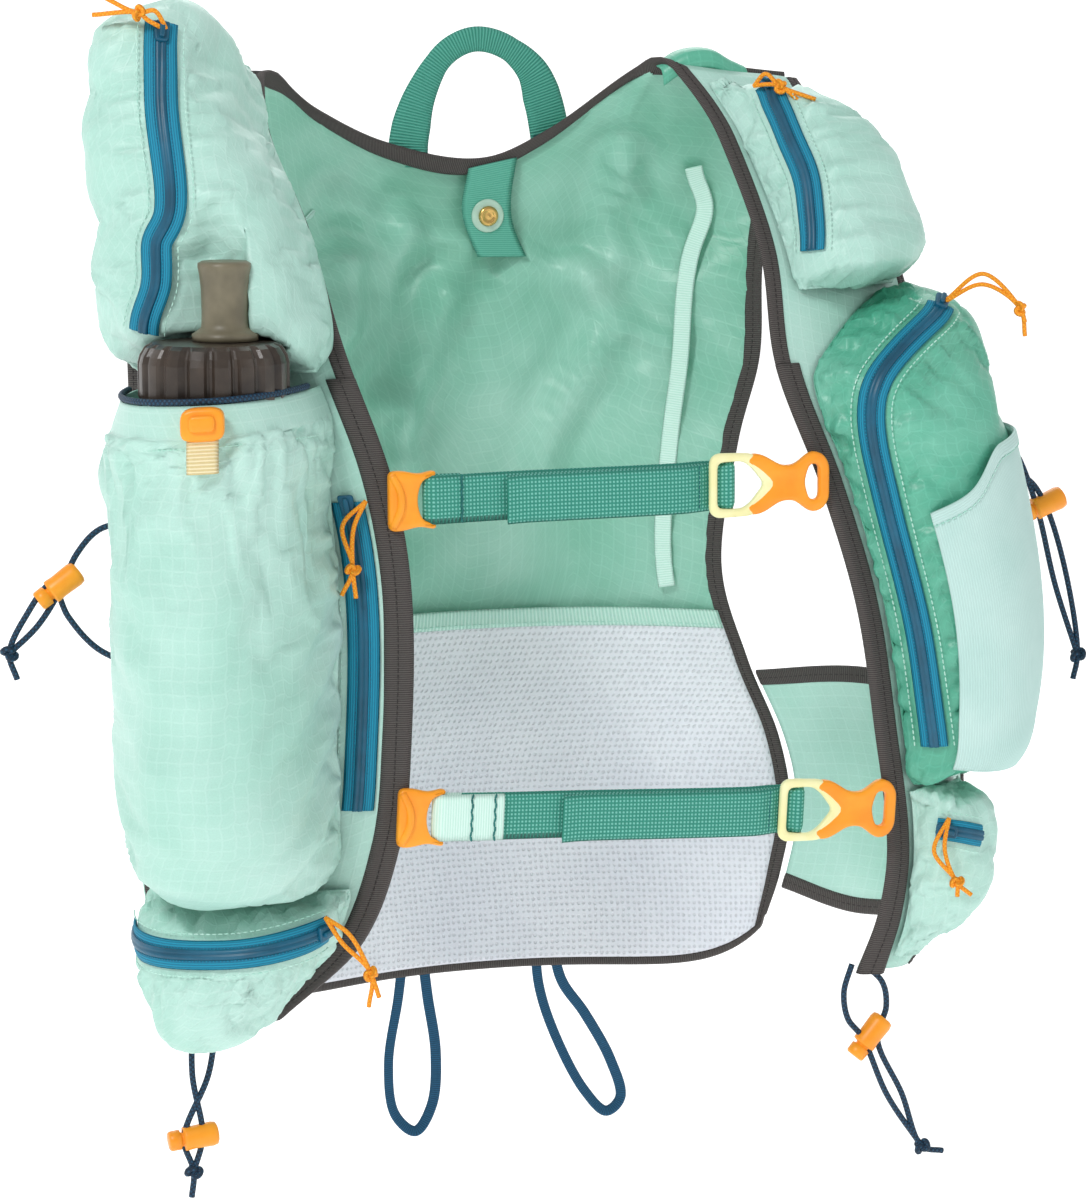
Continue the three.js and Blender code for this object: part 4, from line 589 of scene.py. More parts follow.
def gridFaces(rows, columns, start=0, wrap=False):
    i, j = np.meshgrid(np.arange(rows - 1), np.arange(columns if wrap else columns - 1), indexing="ij")
    k = (j + 1) % columns
    a, b = i * columns + j, (i + 1) * columns + j
    return np.stack([a, b, (i + 1) * columns + k, i * columns + k], -1).reshape(-1, 4) + start


def gridNormals(points):
    du, dv = np.gradient(points, axis=0), np.gradient(points, axis=1)
    return unit(np.cross(du, dv))


def outwards(points, normals):
    # one sign for the whole grid: away from the body's upright axis at its middle
    i, j = points.shape[0] // 2, points.shape[1] // 2
    hint = points[i, j] * [1, 1, 0]
    return normals if normals[i, j] @ hint > 0 else -normals


def arcGrid(points):
    # lengths across and along the cloth in millimetres, as its UV map
    along = np.linalg.norm(np.diff(points, axis=0), axis=-1)
    across = np.linalg.norm(np.diff(points, axis=1), axis=-1)
    u = np.concatenate([np.zeros((1, points.shape[1])), np.cumsum(along, 0)])
    v = np.concatenate([np.zeros((points.shape[0], 1)), np.cumsum(across, 1)], 1)
    return np.stack([u, v], -1)


def clothSheet(name, points, material, wall=0.8, **words):
    # a single grid with a Solidify wall; faces turned outwards
    normals = gridNormals(points)
    faces = gridFaces(*points.shape[:2])
    if outwards(points, normals) is not normals:
        faces = faces[:, ::-1]
    piece = makePiece(name, points.reshape(-1, 3), [faces], material, arcGrid(points).reshape(-1, 2), **words)
    solid = piece.modifiers.new("wall", "SOLIDIFY")
    solid.thickness, solid.offset = wall * mm, 0
    return piece


def sweep(centre, across, normal, profile):
    # a closed profile (m, 2) carried along centre (n, 3): verts, faces with end caps, and UV lengths
    count, sides = len(centre), len(profile)
    verts = centre[:, None] + across[:, None] * profile[None, :, :1] + normal[:, None] * profile[None, :, 1:]
    walls = gridFaces(count, sides, 0, True)
    caps = [np.arange(sides)[None], (count - 1) * sides + np.arange(sides)[None, ::-1]]
    length = np.concatenate([[0], np.cumsum(np.linalg.norm(np.diff(centre, axis=0), axis=-1))])
    girth = np.concatenate([[0], np.cumsum(np.linalg.norm(np.diff(profile, axis=0), axis=-1))])
    uv = np.stack(np.meshgrid(length, girth, indexing="ij"), -1)[..., ::-1]
    # the profile runs anticlockwise seen from ahead when across x normal points along
    ahead = np.sum(np.cross(across, normal) * np.gradient(centre, axis=0), -1).mean() > 0
    area = np.sum(profile[:, 0] * np.roll(profile[:, 1], -1) - profile[:, 1] * np.roll(profile[:, 0], -1)) > 0
    blocks = [walls, *caps]
    if ahead == area:
        blocks = [b[:, ::-1] for b in blocks]
    return verts.reshape(-1, 3), blocks, uv.reshape(-1, 2)


def bandProfile(width, thick, groove=0.0):
    # a flat band with rounded edges, and a stitched groove down its outer face
    x = np.linspace(-1, 1, 9)
    dome = np.sqrt(np.maximum(1 - np.abs(x) ** 6, 0)) * (1 - groove * np.exp(-(x / 0.16) ** 2))
    top = np.stack([x * width / 2, dome * thick / 2], -1)
    below = np.stack([x[::-1][1:-1] * width / 2, -np.sqrt(1 - np.abs(x[::-1][1:-1]) ** 6) * thick / 2], -1)
    return np.concatenate([top, below])


def tangents(points):
    return unit(np.gradient(points, axis=0))


def joined(parts):
    # several (verts, faces, uv) made into one
    verts, blocks, uvs, start = [], [], [], 0
    for v, f, uv in parts:
        verts.append(v)
        uvs.append(uv if uv is not None else np.zeros((len(v), 2)))
        blocks += [np.asarray(block) + start for block in f]
        start += len(v)
    return np.concatenate(verts), blocks, np.concatenate(uvs)


def bandPiece(name, centre, across, normal, width, thick, material, groove=0.0, **words):
    verts, faces, uv = sweep(centre, across, normal, bandProfile(width, thick, groove))
    return makePiece(name, verts, faces, material, uv, **words)


def evenly(points, spacing):
    # indices as fractions so that steps along the line are equal
    length = np.concatenate([[0], np.cumsum(np.linalg.norm(np.diff(points, axis=0), axis=-1))])
    count = max(int(length[-1] / spacing), 1)
    targets = np.linspace(0, length[-1], count + 1)
    return np.interp(targets, length, np.arange(len(points)))


def sampled(points, where):
    low = np.clip(np.floor(where).astype(int), 0, len(points) - 2)
    t = (where - low)[:, None]
    return points[low] * (1 - t) + points[low + 1] * t


def copiesOf(base, baseFaces, origin, x, y, z):
    # the base shape (k, 3) put at each frame (n, 3): one mesh
    verts = origin[:, None] + base[None, :, :1] * x[:, None] + base[None, :, 1:2] * y[:, None] + base[None, :,
        2:] * z[:, None]
    count, size = len(origin), len(base)
    blocks = [(np.asarray(f)[None] + (np.arange(count) * size)[:, None, None]).reshape(-1,
        np.asarray(f).shape[1]) for f in baseFaces]
    return verts.reshape(-1, 3), blocks, None


def capsule(length, diameter, sides=6):
    # a stitch: a spindle lying along x
    x = np.array([-0.5, -0.34, 0.34, 0.5]) * length
    radius = np.array([0.25, 1, 1, 0.25]) * diameter / 2
    angle = np.linspace(0, 2 * np.pi, sides, endpoint=False)
    verts = stacked(x[:, None] + 0 * angle, radius[:, None] * np.cos(angle),
        radius[:, None] * np.sin(angle)).reshape(-1, 3)
    caps = [np.arange(sides)[None, ::-1], 3 * sides + np.arange(sides)[None]]
    return verts, [gridFaces(4, sides, 0, True), *caps]


stitchRows = {}


def stitch(group, points, normals, pitch=2.6, length=1.9, diameter=0.55, lift=0.2):
    where = evenly(points, pitch)
    where = (where[:-1] + where[1:]) / 2
    origin, normal = sampled(points, where), unit(sampled(normals, where))
    along = unit(sampled(tangents(points), where))
    side = unit(np.cross(normal, along))
    base, faces = capsule(length, diameter)
    stitchRows.setdefault(group, []).append(copiesOf(base, faces, origin + normal * lift, along, side, normal))


def lathe(profile, sides, axisPoint, ripple=None):
    # a profile of (radius, height) turned about the upright axis; ripple(angle, row) scales the radius
    profile = np.asarray(profile, float)
    angle = np.linspace(0, 2 * np.pi, sides, endpoint=False)
    radius = profile[:, :1] * np.ones_like(angle)
    if ripple is not None:
        radius = radius * ripple(angle[None], profile)
    verts = stacked(axisPoint[0] + radius * np.cos(angle), axisPoint[1] + radius * np.sin(angle),
        axisPoint[2] + profile[:, 1:] + 0 * angle)
    rows = len(profile)
    faces = [gridFaces(rows, sides, 0, True)[:, ::-1], np.arange(sides)[None, ::-1],
        (rows - 1) * sides + np.arange(sides)[None]]
    uv = np.stack(np.broadcast_arrays(profile[:, :1].max() * angle[None], profile[:, 1:]), -1)
    return verts.reshape(-1, 3), faces, uv.reshape(-1, 2)


def turned(part, origin, x, y, z):
    verts, faces, uv = part
    frameMatrix = np.stack([x, y, z])
    return np.asarray(verts) @ frameMatrix + origin, faces, uv


def outlineSolid(outlines, thick, bevel):
    # flat outlines (the first is the rim, the rest holes) filled, thickened and bevelled through a curve
    curve = bpy.data.curves.new("outline", "CURVE")
    curve.dimensions, curve.fill_mode = "2D", "BOTH"
    curve.extrude, curve.bevel_depth, curve.bevel_resolution = thick / 2 - bevel, bevel, 2
    curve.offset = -bevel
    for outline in outlines:
        outline = roundedCorners(np.asarray(outline, float), bevel * 2)
        spline = curve.splines.new("POLY")
        spline.points.add(len(outline) - 1)
        spline.points.foreach_set("co",
            np.concatenate([outline, np.zeros((len(outline), 1)), np.ones((len(outline), 1))], 1).ravel())
        spline.use_cyclic_u = True
    holder = bpy.data.objects.new("outline", curve)
    bpy.context.scene.collection.objects.link(holder)
    bpy.context.view_layer.update()
    mesh = bpy.data.meshes.new_from_object(holder)
    verts = np.zeros(len(mesh.vertices) * 3)
    mesh.vertices.foreach_get("co", verts)
    faces = [np.array([list(p.vertices)]) for p in mesh.polygons]
    bpy.data.objects.remove(holder)
    bpy.data.curves.remove(curve)
    return verts.reshape(-1, 3), faces, None


def roundedCorners(outline, radius, steps=4):
    # each corner becomes a small arc, as a quadratic curve between points set back along its edges
    before, after = np.roll(outline, 1, 0), np.roll(outline, -1, 0)
    reach = lambda other: np.minimum(radius, np.linalg.norm(other - outline, axis=1) * 0.45)[:, None]
    start = outline + unit(before - outline) * reach(before)
    end = outline + unit(after - outline) * reach(after)
    t = np.linspace(0, 1, steps)[None, :, None]
    arc = start[:, None] * (1 - t) ** 2 + outline[:, None] * 2 * t * (1 - t) + end[:, None] * t ** 2
    return arc.reshape(-1, 2)


def weldAndTurn(piece):
    # merges doubles of a curve-made mesh and turns its faces outwards
    work = bmesh.new()
    work.from_mesh(piece.data)
    bmesh.ops.remove_doubles(work, verts=work.verts, dist=1e-6)
    bmesh.ops.recalc_face_normals(work, faces=work.faces)
    work.to_mesh(piece.data)
    work.free()


def crumple(piece, pin, slack=0.03, pressure=1.0, frames=18, cap=6.0):
    # Blender's cloth: the sheet is a little larger than its place, held where pin is 1; the result is applied,
    # capped in mm
    count = len(piece.data.vertices)
    start = np.zeros(count * 3)
    piece.data.vertices.foreach_get("co", start)
    start = start.reshape(-1, 3)
    group = piece.vertex_groups.new(name="pin")
    levels = np.round(np.clip(pin, 0, 1).ravel() * 8) / 8
    for level in np.unique(levels[levels > 0]):
        group.add(np.nonzero(levels == level)[0].tolist(), float(level), "REPLACE")
    wallMod = piece.modifiers.get("wall")
    if wallMod:
        wallMod.show_viewport = False
    cloth = piece.modifiers.new("cloth", "CLOTH")
    settings = cloth.settings
    settings.quality, settings.mass = 5, 0.12
    settings.tension_stiffness = settings.compression_stiffness = 12
    settings.shear_stiffness, settings.bending_stiffness = 4, 0.4
    settings.tension_damping = settings.compression_damping = settings.shear_damping = 12
    settings.air_damping = 4
    settings.vertex_group_mass = "pin"
    settings.shrink_min = settings.shrink_max = -slack
    settings.use_pressure, settings.uniform_pressure_force = True, pressure
    settings.effector_weights.gravity = 0
    cloth.point_cache.frame_end = frames
    scene = bpy.context.scene
    for number in range(1, frames + 1):
        scene.frame_set(number)
    shaped = piece.evaluated_get(bpy.context.evaluated_depsgraph_get())
    end = np.zeros(count * 3)
    shaped.data.vertices.foreach_get("co", end)
    move = end.reshape(-1, 3) - start
    size = np.linalg.norm(move, axis=1, keepdims=True)
    limit = cap * mm
    move *= np.where(size > 0, limit * np.tanh(size / limit) / np.maximum(size, 1e-9), 0)
    piece.modifiers.remove(cloth)
    piece.vertex_groups.remove(group)
    scene.frame_set(1)
    if wallMod:
        wallMod.show_viewport = True
    piece.data.vertices.foreach_set("co", (start + move).ravel())
    piece.data.update()


def borderPin(rows, columns, ring=1):
    # 1 along the sewn border, 0 inside
    pin = np.ones((rows, columns))
    pin[ring:-ring, ring:-ring] = 0
    return pin


def nearLine(points, line, inner, outer):
    # 1 within inner mm of the line, falling to 0 at outer mm
    flat = points.reshape(-1, 3)
    distance = np.min(np.linalg.norm(flat[:, None] - line[None], axis=-1), axis=1)
    return np.clip((outer - distance) / (outer - inner), 0, 1).reshape(points.shape[:2])


def tubeAlong(points, diameter, sides=10):
    # a round tube with a frame carried along without twist
    points = np.asarray(points, float)
    along = tangents(points)
    side = np.zeros_like(points)
    start = np.cross(along[0], [0.3, 0.9, 0.2])
    side[0] = start / np.linalg.norm(start)
    for k in range(1, len(points)):
        carried = side[k - 1] - along[k] * (side[k - 1] @ along[k])
        side[k] = carried / np.linalg.norm(carried)
    up = np.cross(along, side)
    angle = np.linspace(0, 2 * np.pi, sides, endpoint=False)
    profile = np.stack([np.cos(angle), np.sin(angle)], -1) * diameter / 2
    return sweep(points, side, up, profile)


def knotAt(centre, along, size, diameter):
    # an overhand knot: a trefoil line laid across the cord's way
    t = np.linspace(0, 2 * np.pi, 60)
    x = np.sin(t) + 2 * np.sin(2 * t)
    y = np.cos(t) - 2 * np.cos(2 * t)
    z = -np.sin(3 * t)
    along = unit(np.asarray(along, float))
    side = unit(np.cross(along, [0.2, 1, 0.1]))
    up = np.cross(along, side)
    shape = x[:, None] * side + y[:, None] * up * 0.8 + z[:, None] * along * 1.5
    line = np.asarray(centre) + shape * size / 3
    return tubeAlong(line[:-1], diameter, 8)


print("helpers ready")

# Cords first: the routes of the solids, in millimetres
cordSizes = {"drawcord": 2.6, "pull": 2.2, "toggleLength": 21, "toggleRadius": 5}
drawcords = {
    "right_hem": {
        "strands": [
            [[-167, -38, -398], [-168, -40, -425], [-164, -40, -452], [-168, -40, -467]],
            [[-157, -40, -398], [-161, -40, -425], [-172, -40, -452], [-168, -40, -467], [-169, -40, -478]]],
        "toggle": [-168, -40, -452], "along": [1, 0, 0.1]},
    "left_rail": {
        "strands": [
            [[119, -66, -394], [115, -67, -406], [117, -67, -418], [124, -67, -427], [136, -67, -454],
                [153, -67, -479]],
            [[124, -66, -394], [133, -67, -403], [135, -67, -414], [131, -67, -428], [143, -67, -454],
                [153, -67, -479],
             [163, -67, -482]]],
        "toggle": [127, -67, -427], "along": [0.6, 0, 0.7]},
    "right_side": {
        "strands": [
            [[-180, -13, -194], [-197, -11, -197], [-207, -11, -207], [-214, -12, -221], [-224, -12, -236],
                [-236, -12, -247]],
            [[-180, -16, -256], [-199, -12, -247], [-211, -11, -233], [-218, -12, -219], [-229, -12, -232],
                [-236, -12, -247],
             [-233, -12, -258]]],
        "toggle": [-215, -12, -220], "along": [0.7, 0, 0.5]},
    "left_side": {
        "strands": [
            [[168, -26, -168], [200, -22, -167], [214, -18, -178], [227, -15, -204], [237, -15, -240],
                [249, -15, -273]],
            [[168, -28, -184], [203, -22, -186], [222, -17, -192], [232, -15, -205], [243, -15, -238],
                [249, -15, -273],
             [247, -15, -284]]],
        "toggle": [230, -15, -204], "along": [1, 0, 0.4]},
}
pulls = {
    "right_shoulder": {"route": [[-173, -46, 7], [-180, -49, 13], [-185, -48, 14]], "tail": [-195, -43, 16]},
    "right_side": {"route": [[-101, -77, -181], [-109, -79, -191], [-108, -82, -208]],
        "tail": [-110, -82, -219]},
    "right_bottom": {"route": [[-124, -94.5, -348], [-118, -104, -355], [-109, -109, -369]],
        "tail": [-108, -109, -381]},
    "left_shoulder": {"route": [[92.5, -7.5, -17], [96, -13, -14], [101, -17, -17]], "tail": [111, -21, -24]},
    "left_side": {"route": [[157, -66, -107.5], [169, -80, -97], [182, -89, -109]], "tail": [184, -90, -118]},
    "left_bottom": {"route": [[152, -92, -326], [146, -96, -339], [152, -101, -352]],
        "tail": [155, -102, -358]},
}


def cordPiece(name, points, diameter, material, replaces=(), slot=None):
    line = throughPoints(points, np.linspace(0, 1, 12 * len(points)))
    verts, faces, uv = tubeAlong(line, diameter, 12)
    piece = makePiece(name, verts, faces, material, uv, replaces=replaces, slot=slot)
    return piece


def togglePart(centre, along):
    # a two-part cord lock: a waisted barrel with a ribbed plunger at one end
    half, rim = cordSizes["toggleLength"] / 2, cordSizes["toggleRadius"]
    barrel = [(0.01, -half), (rim * 0.72, -half), (rim * 0.84, -half * 0.93), (rim * 0.86, -half * 0.55),
        (rim * 0.6, -half * 0.5),
              (rim * 0.6, -half * 0.42), (rim, -half * 0.38), (rim * 1.04, -half * 0.3), (rim * 0.98,
                  0), (rim * 1.04, half * 0.75),
              (rim * 0.95, half * 0.94), (rim * 0.7, half), (0.01, half)]
    z = unit(np.array(along, float))
    x = unit(np.cross([0, 1, 0], z))
    return turned(lathe(barrel, 28, (0, 0, 0)), np.array(centre, float), x, np.cross(z, x), z)


for name, cordSet in drawcords.items():
    d = cordSizes["drawcord"]
    first, second = cordSet["strands"]
    knot = np.array(first[-1], float)
    verts, faces, uv = togglePart(cordSet["toggle"], cordSet["along"])
    toggle = makePiece(f"{name}_cord_toggle", verts, faces, "orange", uv, replaces=[f"{name}_toggle"],
        slot="orange_plastic")
    tie = knotAt(knot, knot - np.array(first[-2], float), 3.0, d)
    knotPiece = makePiece(f"{name}_cord_knot", *tie[:2], "navyCord", tie[2])
    cordPiece(f"{name}_strand_a", first, d, "navyCord",
        [f"{name}_cord"], "navy_cord")
    if len(second) == 4:
        second = [*second, (knot + [2, 0, -12]).tolist()]
    cordPiece(f"{name}_strand_b", second, d, "navyCord")
for name, pull in pulls.items():
    d = cordSizes["pull"]
    eye, middle, knot = (np.array(p, float) for p in pull["route"])
    tail = np.array(pull["tail"], float)
    way = unit(knot - eye)
    aside = unit(np.cross(way, [0.3, 1, 0.2])) * 2.3
    tie = knotAt(knot, way, 2.6, d)
    knotPiece = makePiece(f"{name}_pull_knot", *tie[:2], "orangeCord", tie[2])
    ends = [tail + aside * 1.4, tail - aside * 1.2]
    for letter, sign, end in (("a", 1, ends[0]), ("b", -1, ends[1])):
        route = [eye, middle + aside * sign, knot, end]
        reach = sum(np.linalg.norm(np.array(q) - p) for p, q in zip(route, route[1:]))
        if reach < 33:
            route[-1] = end + unit(end - knot) * (33 - reach)
        nodes = [f"{name}_zip_pull"] if letter == "a" else []
        cordPiece(f"{name}_pull_{letter}", route, d * 0.86, "orangeCord",
            nodes,
                  "orange_cord" if letter == "a" else None)
print("cords laid")

# Cloth panels
# creases of the back in its own s, v: points, then depth and half width in millimetres
creases = [
    ([[-0.41, 0.096], [-0.21, 0.128], [-0.005, 0.162]], 5,
        9), ([[-0.21, 0.128], [-0.27, 0.17], [-0.485, 0.174]], 4.5, 8),
    ([[-0.47, 0.184], [-0.525, 0.264]], 4, 8), ([[-0.115, 0.226], [-0.3, 0.366]], 5.5, 9),
    ([[-0.115, 0.226], [0.395, 0.222]], 3.5, 9), ([[0.405, 0.204], [0.485, 0.254], [0.28, 0.416]], 5.5, 9),
    ([[-0.38, 0.354], [-0.3, 0.366], [-0.3, 0.412]], 4, 7), ([[0.17, 0.178], [0.33, 0.196], [0.51, 0.182],
        [0.475, 0.068]], 4.5, 8),
    ([[0.5, 0.066], [0.715, 0.158]], 4, 7), ([[0.55, 0.27], [0.685, 0.288]], 3, 6),
]


def creased(points, normals, lines):
    # soft ridges that follow each line: a gaussian of the distance to it
    flat = points.reshape(-1, 3)
    lift = np.zeros(len(flat))
    for line, depth, half in lines:
        where = throughPoints(np.array(line, float), np.linspace(0, 1, 24))
        places = backPoint(where[:, 0], where[:, 1])
        gap = np.min(np.linalg.norm(flat[:, None] - places[None], axis=-1), axis=1)
        lift += depth * np.exp(-(gap / half) ** 2) - 0.5 * depth * np.exp(-((gap - 1.7 * half) / half) ** 2)
    return points + normals * lift.reshape(points.shape[:2])[..., None]


def waves(points, size, depth, seed):
    # sum of a few slanted sines of differing length: the slow unevenness of thin cloth
    local = np.random.default_rng(seed)
    lift = np.zeros(points.shape[:2])
    for k in range(7):
        way = unit(local.normal(size=3))
        lift += np.sin(points @ way * 2 * np.pi / (size * local.uniform(0.6, 1.6)) + local.uniform(0, 6)) / 7
    return lift * depth


def insideOf(points):
    normals = gridNormals(points)
    return normals if (normals[points.shape[0] // 2, points.shape[1] // 2] @ [0, -1, 0]) > 0 else -normals


s, v = np.meshgrid(np.linspace(-0.972, 0.972, 110), np.linspace(0.008, 0.575, 120), indexing="ij")
grid = backPoint(s, v)
inward = insideOf(grid)
grid = creased(grid, inward, creases)
edge = np.minimum(np.minimum(1 - np.abs(s), 0.2) / 0.2, np.minimum(v, 0.06) / 0.06)
grid += inward * (waves(grid, 60, 2.2, 4) * edge)[..., None]
# the back cloth takes the darker inner ripstop: painted shade for the inside of the vest
backCloth = clothSheet("back_cloth", grid, "inner", replaces=["back_panel"], slot="inner_cloth")
crumple(backCloth, borderPin(*grid.shape[:2]), slack=0.015, pressure=0.15, frames=14, cap=4)
s, v = np.meshgrid(np.linspace(-0.955, 0.955, 80), np.linspace(0.56, 0.99, 80), indexing="ij")
meshGrid = backPoint(s, v)
meshGrid += insideOf(meshGrid) * (1.3 + waves(meshGrid, 70, 1.2, 6) * (1 - np.abs(s)))[..., None]
clothSheet("back_mesh", meshGrid, "mesh", 1.6, replaces=["back_mesh_panel"], slot="white_mesh")
s = np.linspace(-0.955, 0.955, 90)
trimLine = backPoint(s, 0 * s + 0.556)
inwardLine = insideOf(np.stack([backPoint(s, 0 * s + 0.54), backPoint(s, 0 * s + 0.57)], 1))[:, 0]
downLine = unit(backPoint(s, 0 * s + 0.57) - backPoint(s, 0 * s + 0.54))
bandPiece("mesh_top_trim", trimLine + inwardLine * 2.2, downLine, inwardLine, 9, 0.9, "paleWebbing")
stitch("thread", trimLine + inwardLine * 2.5 + downLine * 2.6, inwardLine, 3.0, 2.2, 0.5)

# the pack bag: a slack low bag behind the back
s, b = np.meshgrid(np.linspace(0, 1, 90), np.linspace(0, 1, 100), indexing="ij")
bag = bagPoint(s, b)
swell = waves(bag, 80, 3.5, 9) * np.sin(np.pi * s) * np.sin(np.pi * b)
bag += outwards(bag, gridNormals(bag)) * swell[..., None]
bagPiece = clothSheet("pack_bag_cloth", bag, "mint", replaces=["pack_bag"], slot="mint_cloth")
crumple(bagPiece, borderPin(*bag.shape[:2]), slack=0.03, pressure=0.5, frames=14, cap=6)
print("back made")

frontSpans = {"right": (0.03, 0.99), "left": (0.02, 0.99)}
for side in ("right", "left"):
    drop, share = np.meshgrid(np.linspace(*frontSpans[side], 130), np.linspace(0.03, 0.98, 40), indexing="ij")
    panel = panelPoint(side, drop, share * panelWidth(side, drop))
    swell = waves(panel, 40, 1.2, 12) * np.sin(np.pi * share)
    panel += outwards(panel, gridNormals(panel)) * swell[..., None]
    clothSheet(f"{side}_front_cloth", panel, "mint", 1.0, replaces=[f"{side}_front_panel"], slot="mint_cloth")
    a = np.linspace(0, 1, 60)
    b = np.linspace(0, 1, 40)
    wingGrid = wingPoint(side, a, b)
    wingGrid += outwards(wingGrid,
        gridNormals(wingGrid)) * (waves(wingGrid, 45, 1.6, 15) * np.sin(np.pi * b)[None])[..., None]
    clothSheet(f"{side}_wing_cloth", wingGrid, "mint", 0.9, replaces=[f"{side}_side_wing"], slot="mint_cloth")
print("fronts made")

# Bindings: grosgrain folded over each raw edge, with one stitched line


def bindingPiece(name, lines, width, thick, replaces):
    # lines: list of (centre, across, normal); one mesh, with a stitched line on each
    parts = []
    for centre, across, normal in lines:
        parts.append(sweep(centre, across, normal, bandProfile(width, thick, 0.12)))
        front = normal if np.mean(normal[:, 1]) < 0 else -normal
        stitch("darkThread", centre + front * thick * 0.44, front, 2.5, 1.8, 0.5, 0.1)
    verts, faces, uv = joined(parts)
    return makePiece(name, verts, faces, "binding", uv, replaces=replaces, slot="binding")


def edgeLine(side, outer, width, drops):
    # along a front panel's inner or outer edge, half the band's width in from it
    full = panelWidth(side, drops)
    place = full - width / 2 if outer else width / 2 + 0 * drops
    centre = panelPoint(side, drops, place)
    across = unit(panelPoint(side, drops, place + 1) - panelPoint(side, drops, place - 1))
    normal = unit(np.cross(across, tangents(centre)))
    flip = np.sign(np.sum(normal * [0, -1, 0], -1)).mean()
    return centre, across, normal * (1 if flip > 0 else -1)


def smoothed(values, reach):
    weights = np.hanning(2 * reach + 1)
    weights /= weights.sum()
    padded = np.concatenate([np.repeat(values[:1], reach, 0), values, np.repeat(values[-1:], reach, 0)])
    return np.stack([np.convolve(padded[:, k], weights, "valid") for k in range(3)], -1)


railDrops = np.linspace(0.33, 0.995, 90)
for side in ("right", "left"):
    centre, across, normal = edgeLine(side, False, trim["rail"], railDrops)
    bindingPiece(f"{side}_rail_tube", [(centre, across, normal)], trim["rail"] + 0.5, trim["wall"] + 1.6,
        [f"{side}_rail"])
neckLines = []
for side, top in (("right", 0.022), ("left", 0.012)):
    neckLines.append(edgeLine(side, False, trim["neck"], np.linspace(top, 0.335, 60)))
s = np.linspace(-0.6, 0.45, 90)
neckDown = unit(backPoint(s, 0 * s + 0.03) - backPoint(s, 0 * s + 0.001))
neckCentre = backPoint(s, 0 * s) + neckDown * trim["neck"] / 2
neckNormal = unit(np.cross(neckDown, tangents(neckCentre)))
neckNormal *= np.sign(np.mean(neckNormal @ [0, -1, 0]))
rightLine, leftLine = neckLines
centre = np.concatenate([rightLine[0][::-1], neckCentre[4:-3], leftLine[0]])
across = np.concatenate([rightLine[1][::-1], neckDown[4:-3], leftLine[1]])
normal = np.concatenate([rightLine[2][::-1], neckNormal[4:-3], leftLine[2]])
centre, across = smoothed(centre, 3), unit(smoothed(across, 5))
normal = unit(np.cross(across, tangents(centre)))
normal *= np.sign(np.mean(normal @ [0, -1, 0]))
bindingPiece("neck_binding_band", [(centre, across, normal)], trim["neck"], trim["wall"], ["neck_binding"])
for side in ("right", "left"):
    top = 0.05 if side == "right" else 0.03
    lines = [edgeLine(side, True, trim["edge"], np.linspace(top * 0.7, 0.99, 110))]
    for b in (0.03, 0.97):
        a = np.linspace(0, 1, 60)
        strip = wingPoint(side, a, np.array([b - 0.02, b + 0.02]))
        centre = strip.mean(1)
        across = unit(strip[:, 1] - strip[:, 0])
        normal = unit(np.cross(across, tangents(centre)))
        lines.append((centre, across, normal * np.sign(np.mean(np.sum(normal * centre * [1, 1, 0], -1)))))
    bindingPiece(f"{side}_armhole_band", lines, trim["edge"], trim["wall"], [f"{side}_armhole_binding"])
lines = []
for sign in (-1, 1):
    v = np.linspace(0.004, 0.984, 130)
    centre = backPoint(sign * 0.967 + 0 * v, v)
    across = unit(backPoint(sign * 0.99 + 0 * v, v) - backPoint(sign * 0.94 + 0 * v, v))
    normal = unit(np.cross(across, tangents(centre)))
    lines.append((centre, across, normal * np.sign(np.mean(normal @ [0, -1, 0]))))
s = np.linspace(-0.975, 0.975, 120)
centre = backPoint(s, 0 * s + 0.991)
across = unit(backPoint(s, 0 * s + 1) - backPoint(s, 0 * s + 0.98))
normal = unit(np.cross(across, tangents(centre)))
lines.append((centre, across, normal * np.sign(np.mean(normal @ [0, -1, 0]))))
for low, high in ((-0.98, -0.6), (0.45, 0.98)):
    s = np.linspace(low, high, 40)
    centre = backPoint(s, 0 * s + 0.006)
    across = unit(backPoint(s, 0 * s + 0.02) - backPoint(s, 0 * s))
    normal = unit(np.cross(across, tangents(centre)))
    lines.append((centre, across, normal * np.sign(np.mean(normal @ [0, -1, 0]))))
bindingPiece("back_edge_band", lines, trim["edge"], trim["wall"], ["back_binding"])
print("bindings made")

# Pockets
pocketLooks = {
    "right_shoulder_pocket": {"material": "mint", "slot": "mint_cloth", "size": (110, 100), "wave": 2.6,
        "slack": 0.03, "cap": 5, "fill": 0.5},
    "right_bottle_pocket": {"material": "mint", "slot": "mint_cloth", "size": (110, 150), "wave": 3.0,
        "slack": 0.035, "cap": 6, "fill": 0.5},
    "right_bottom_pocket": {"material": "mint", "slot": "mint_cloth", "size": (90, 60), "wave": 2.4,
        "slack": 0.04, "cap": 5, "fill": 0.6},
    "left_shoulder_pocket": {"material": "mint", "slot": "mint_cloth", "size": (80, 80), "wave": 2.0,
        "slack": 0.03, "cap": 4, "fill": 0.5},
    "left_side_pocket": {"material": "side", "slot": "side_cloth", "size": (90, 130), "wave": 2.2,
        "slack": 0.03, "cap": 5, "fill": 0.5},
    "left_bottom_pocket": {"material": "mint", "slot": "mint_cloth", "size": (60, 60), "wave": 1.8,
        "slack": 0.03, "cap": 4, "fill": 0.4},
}
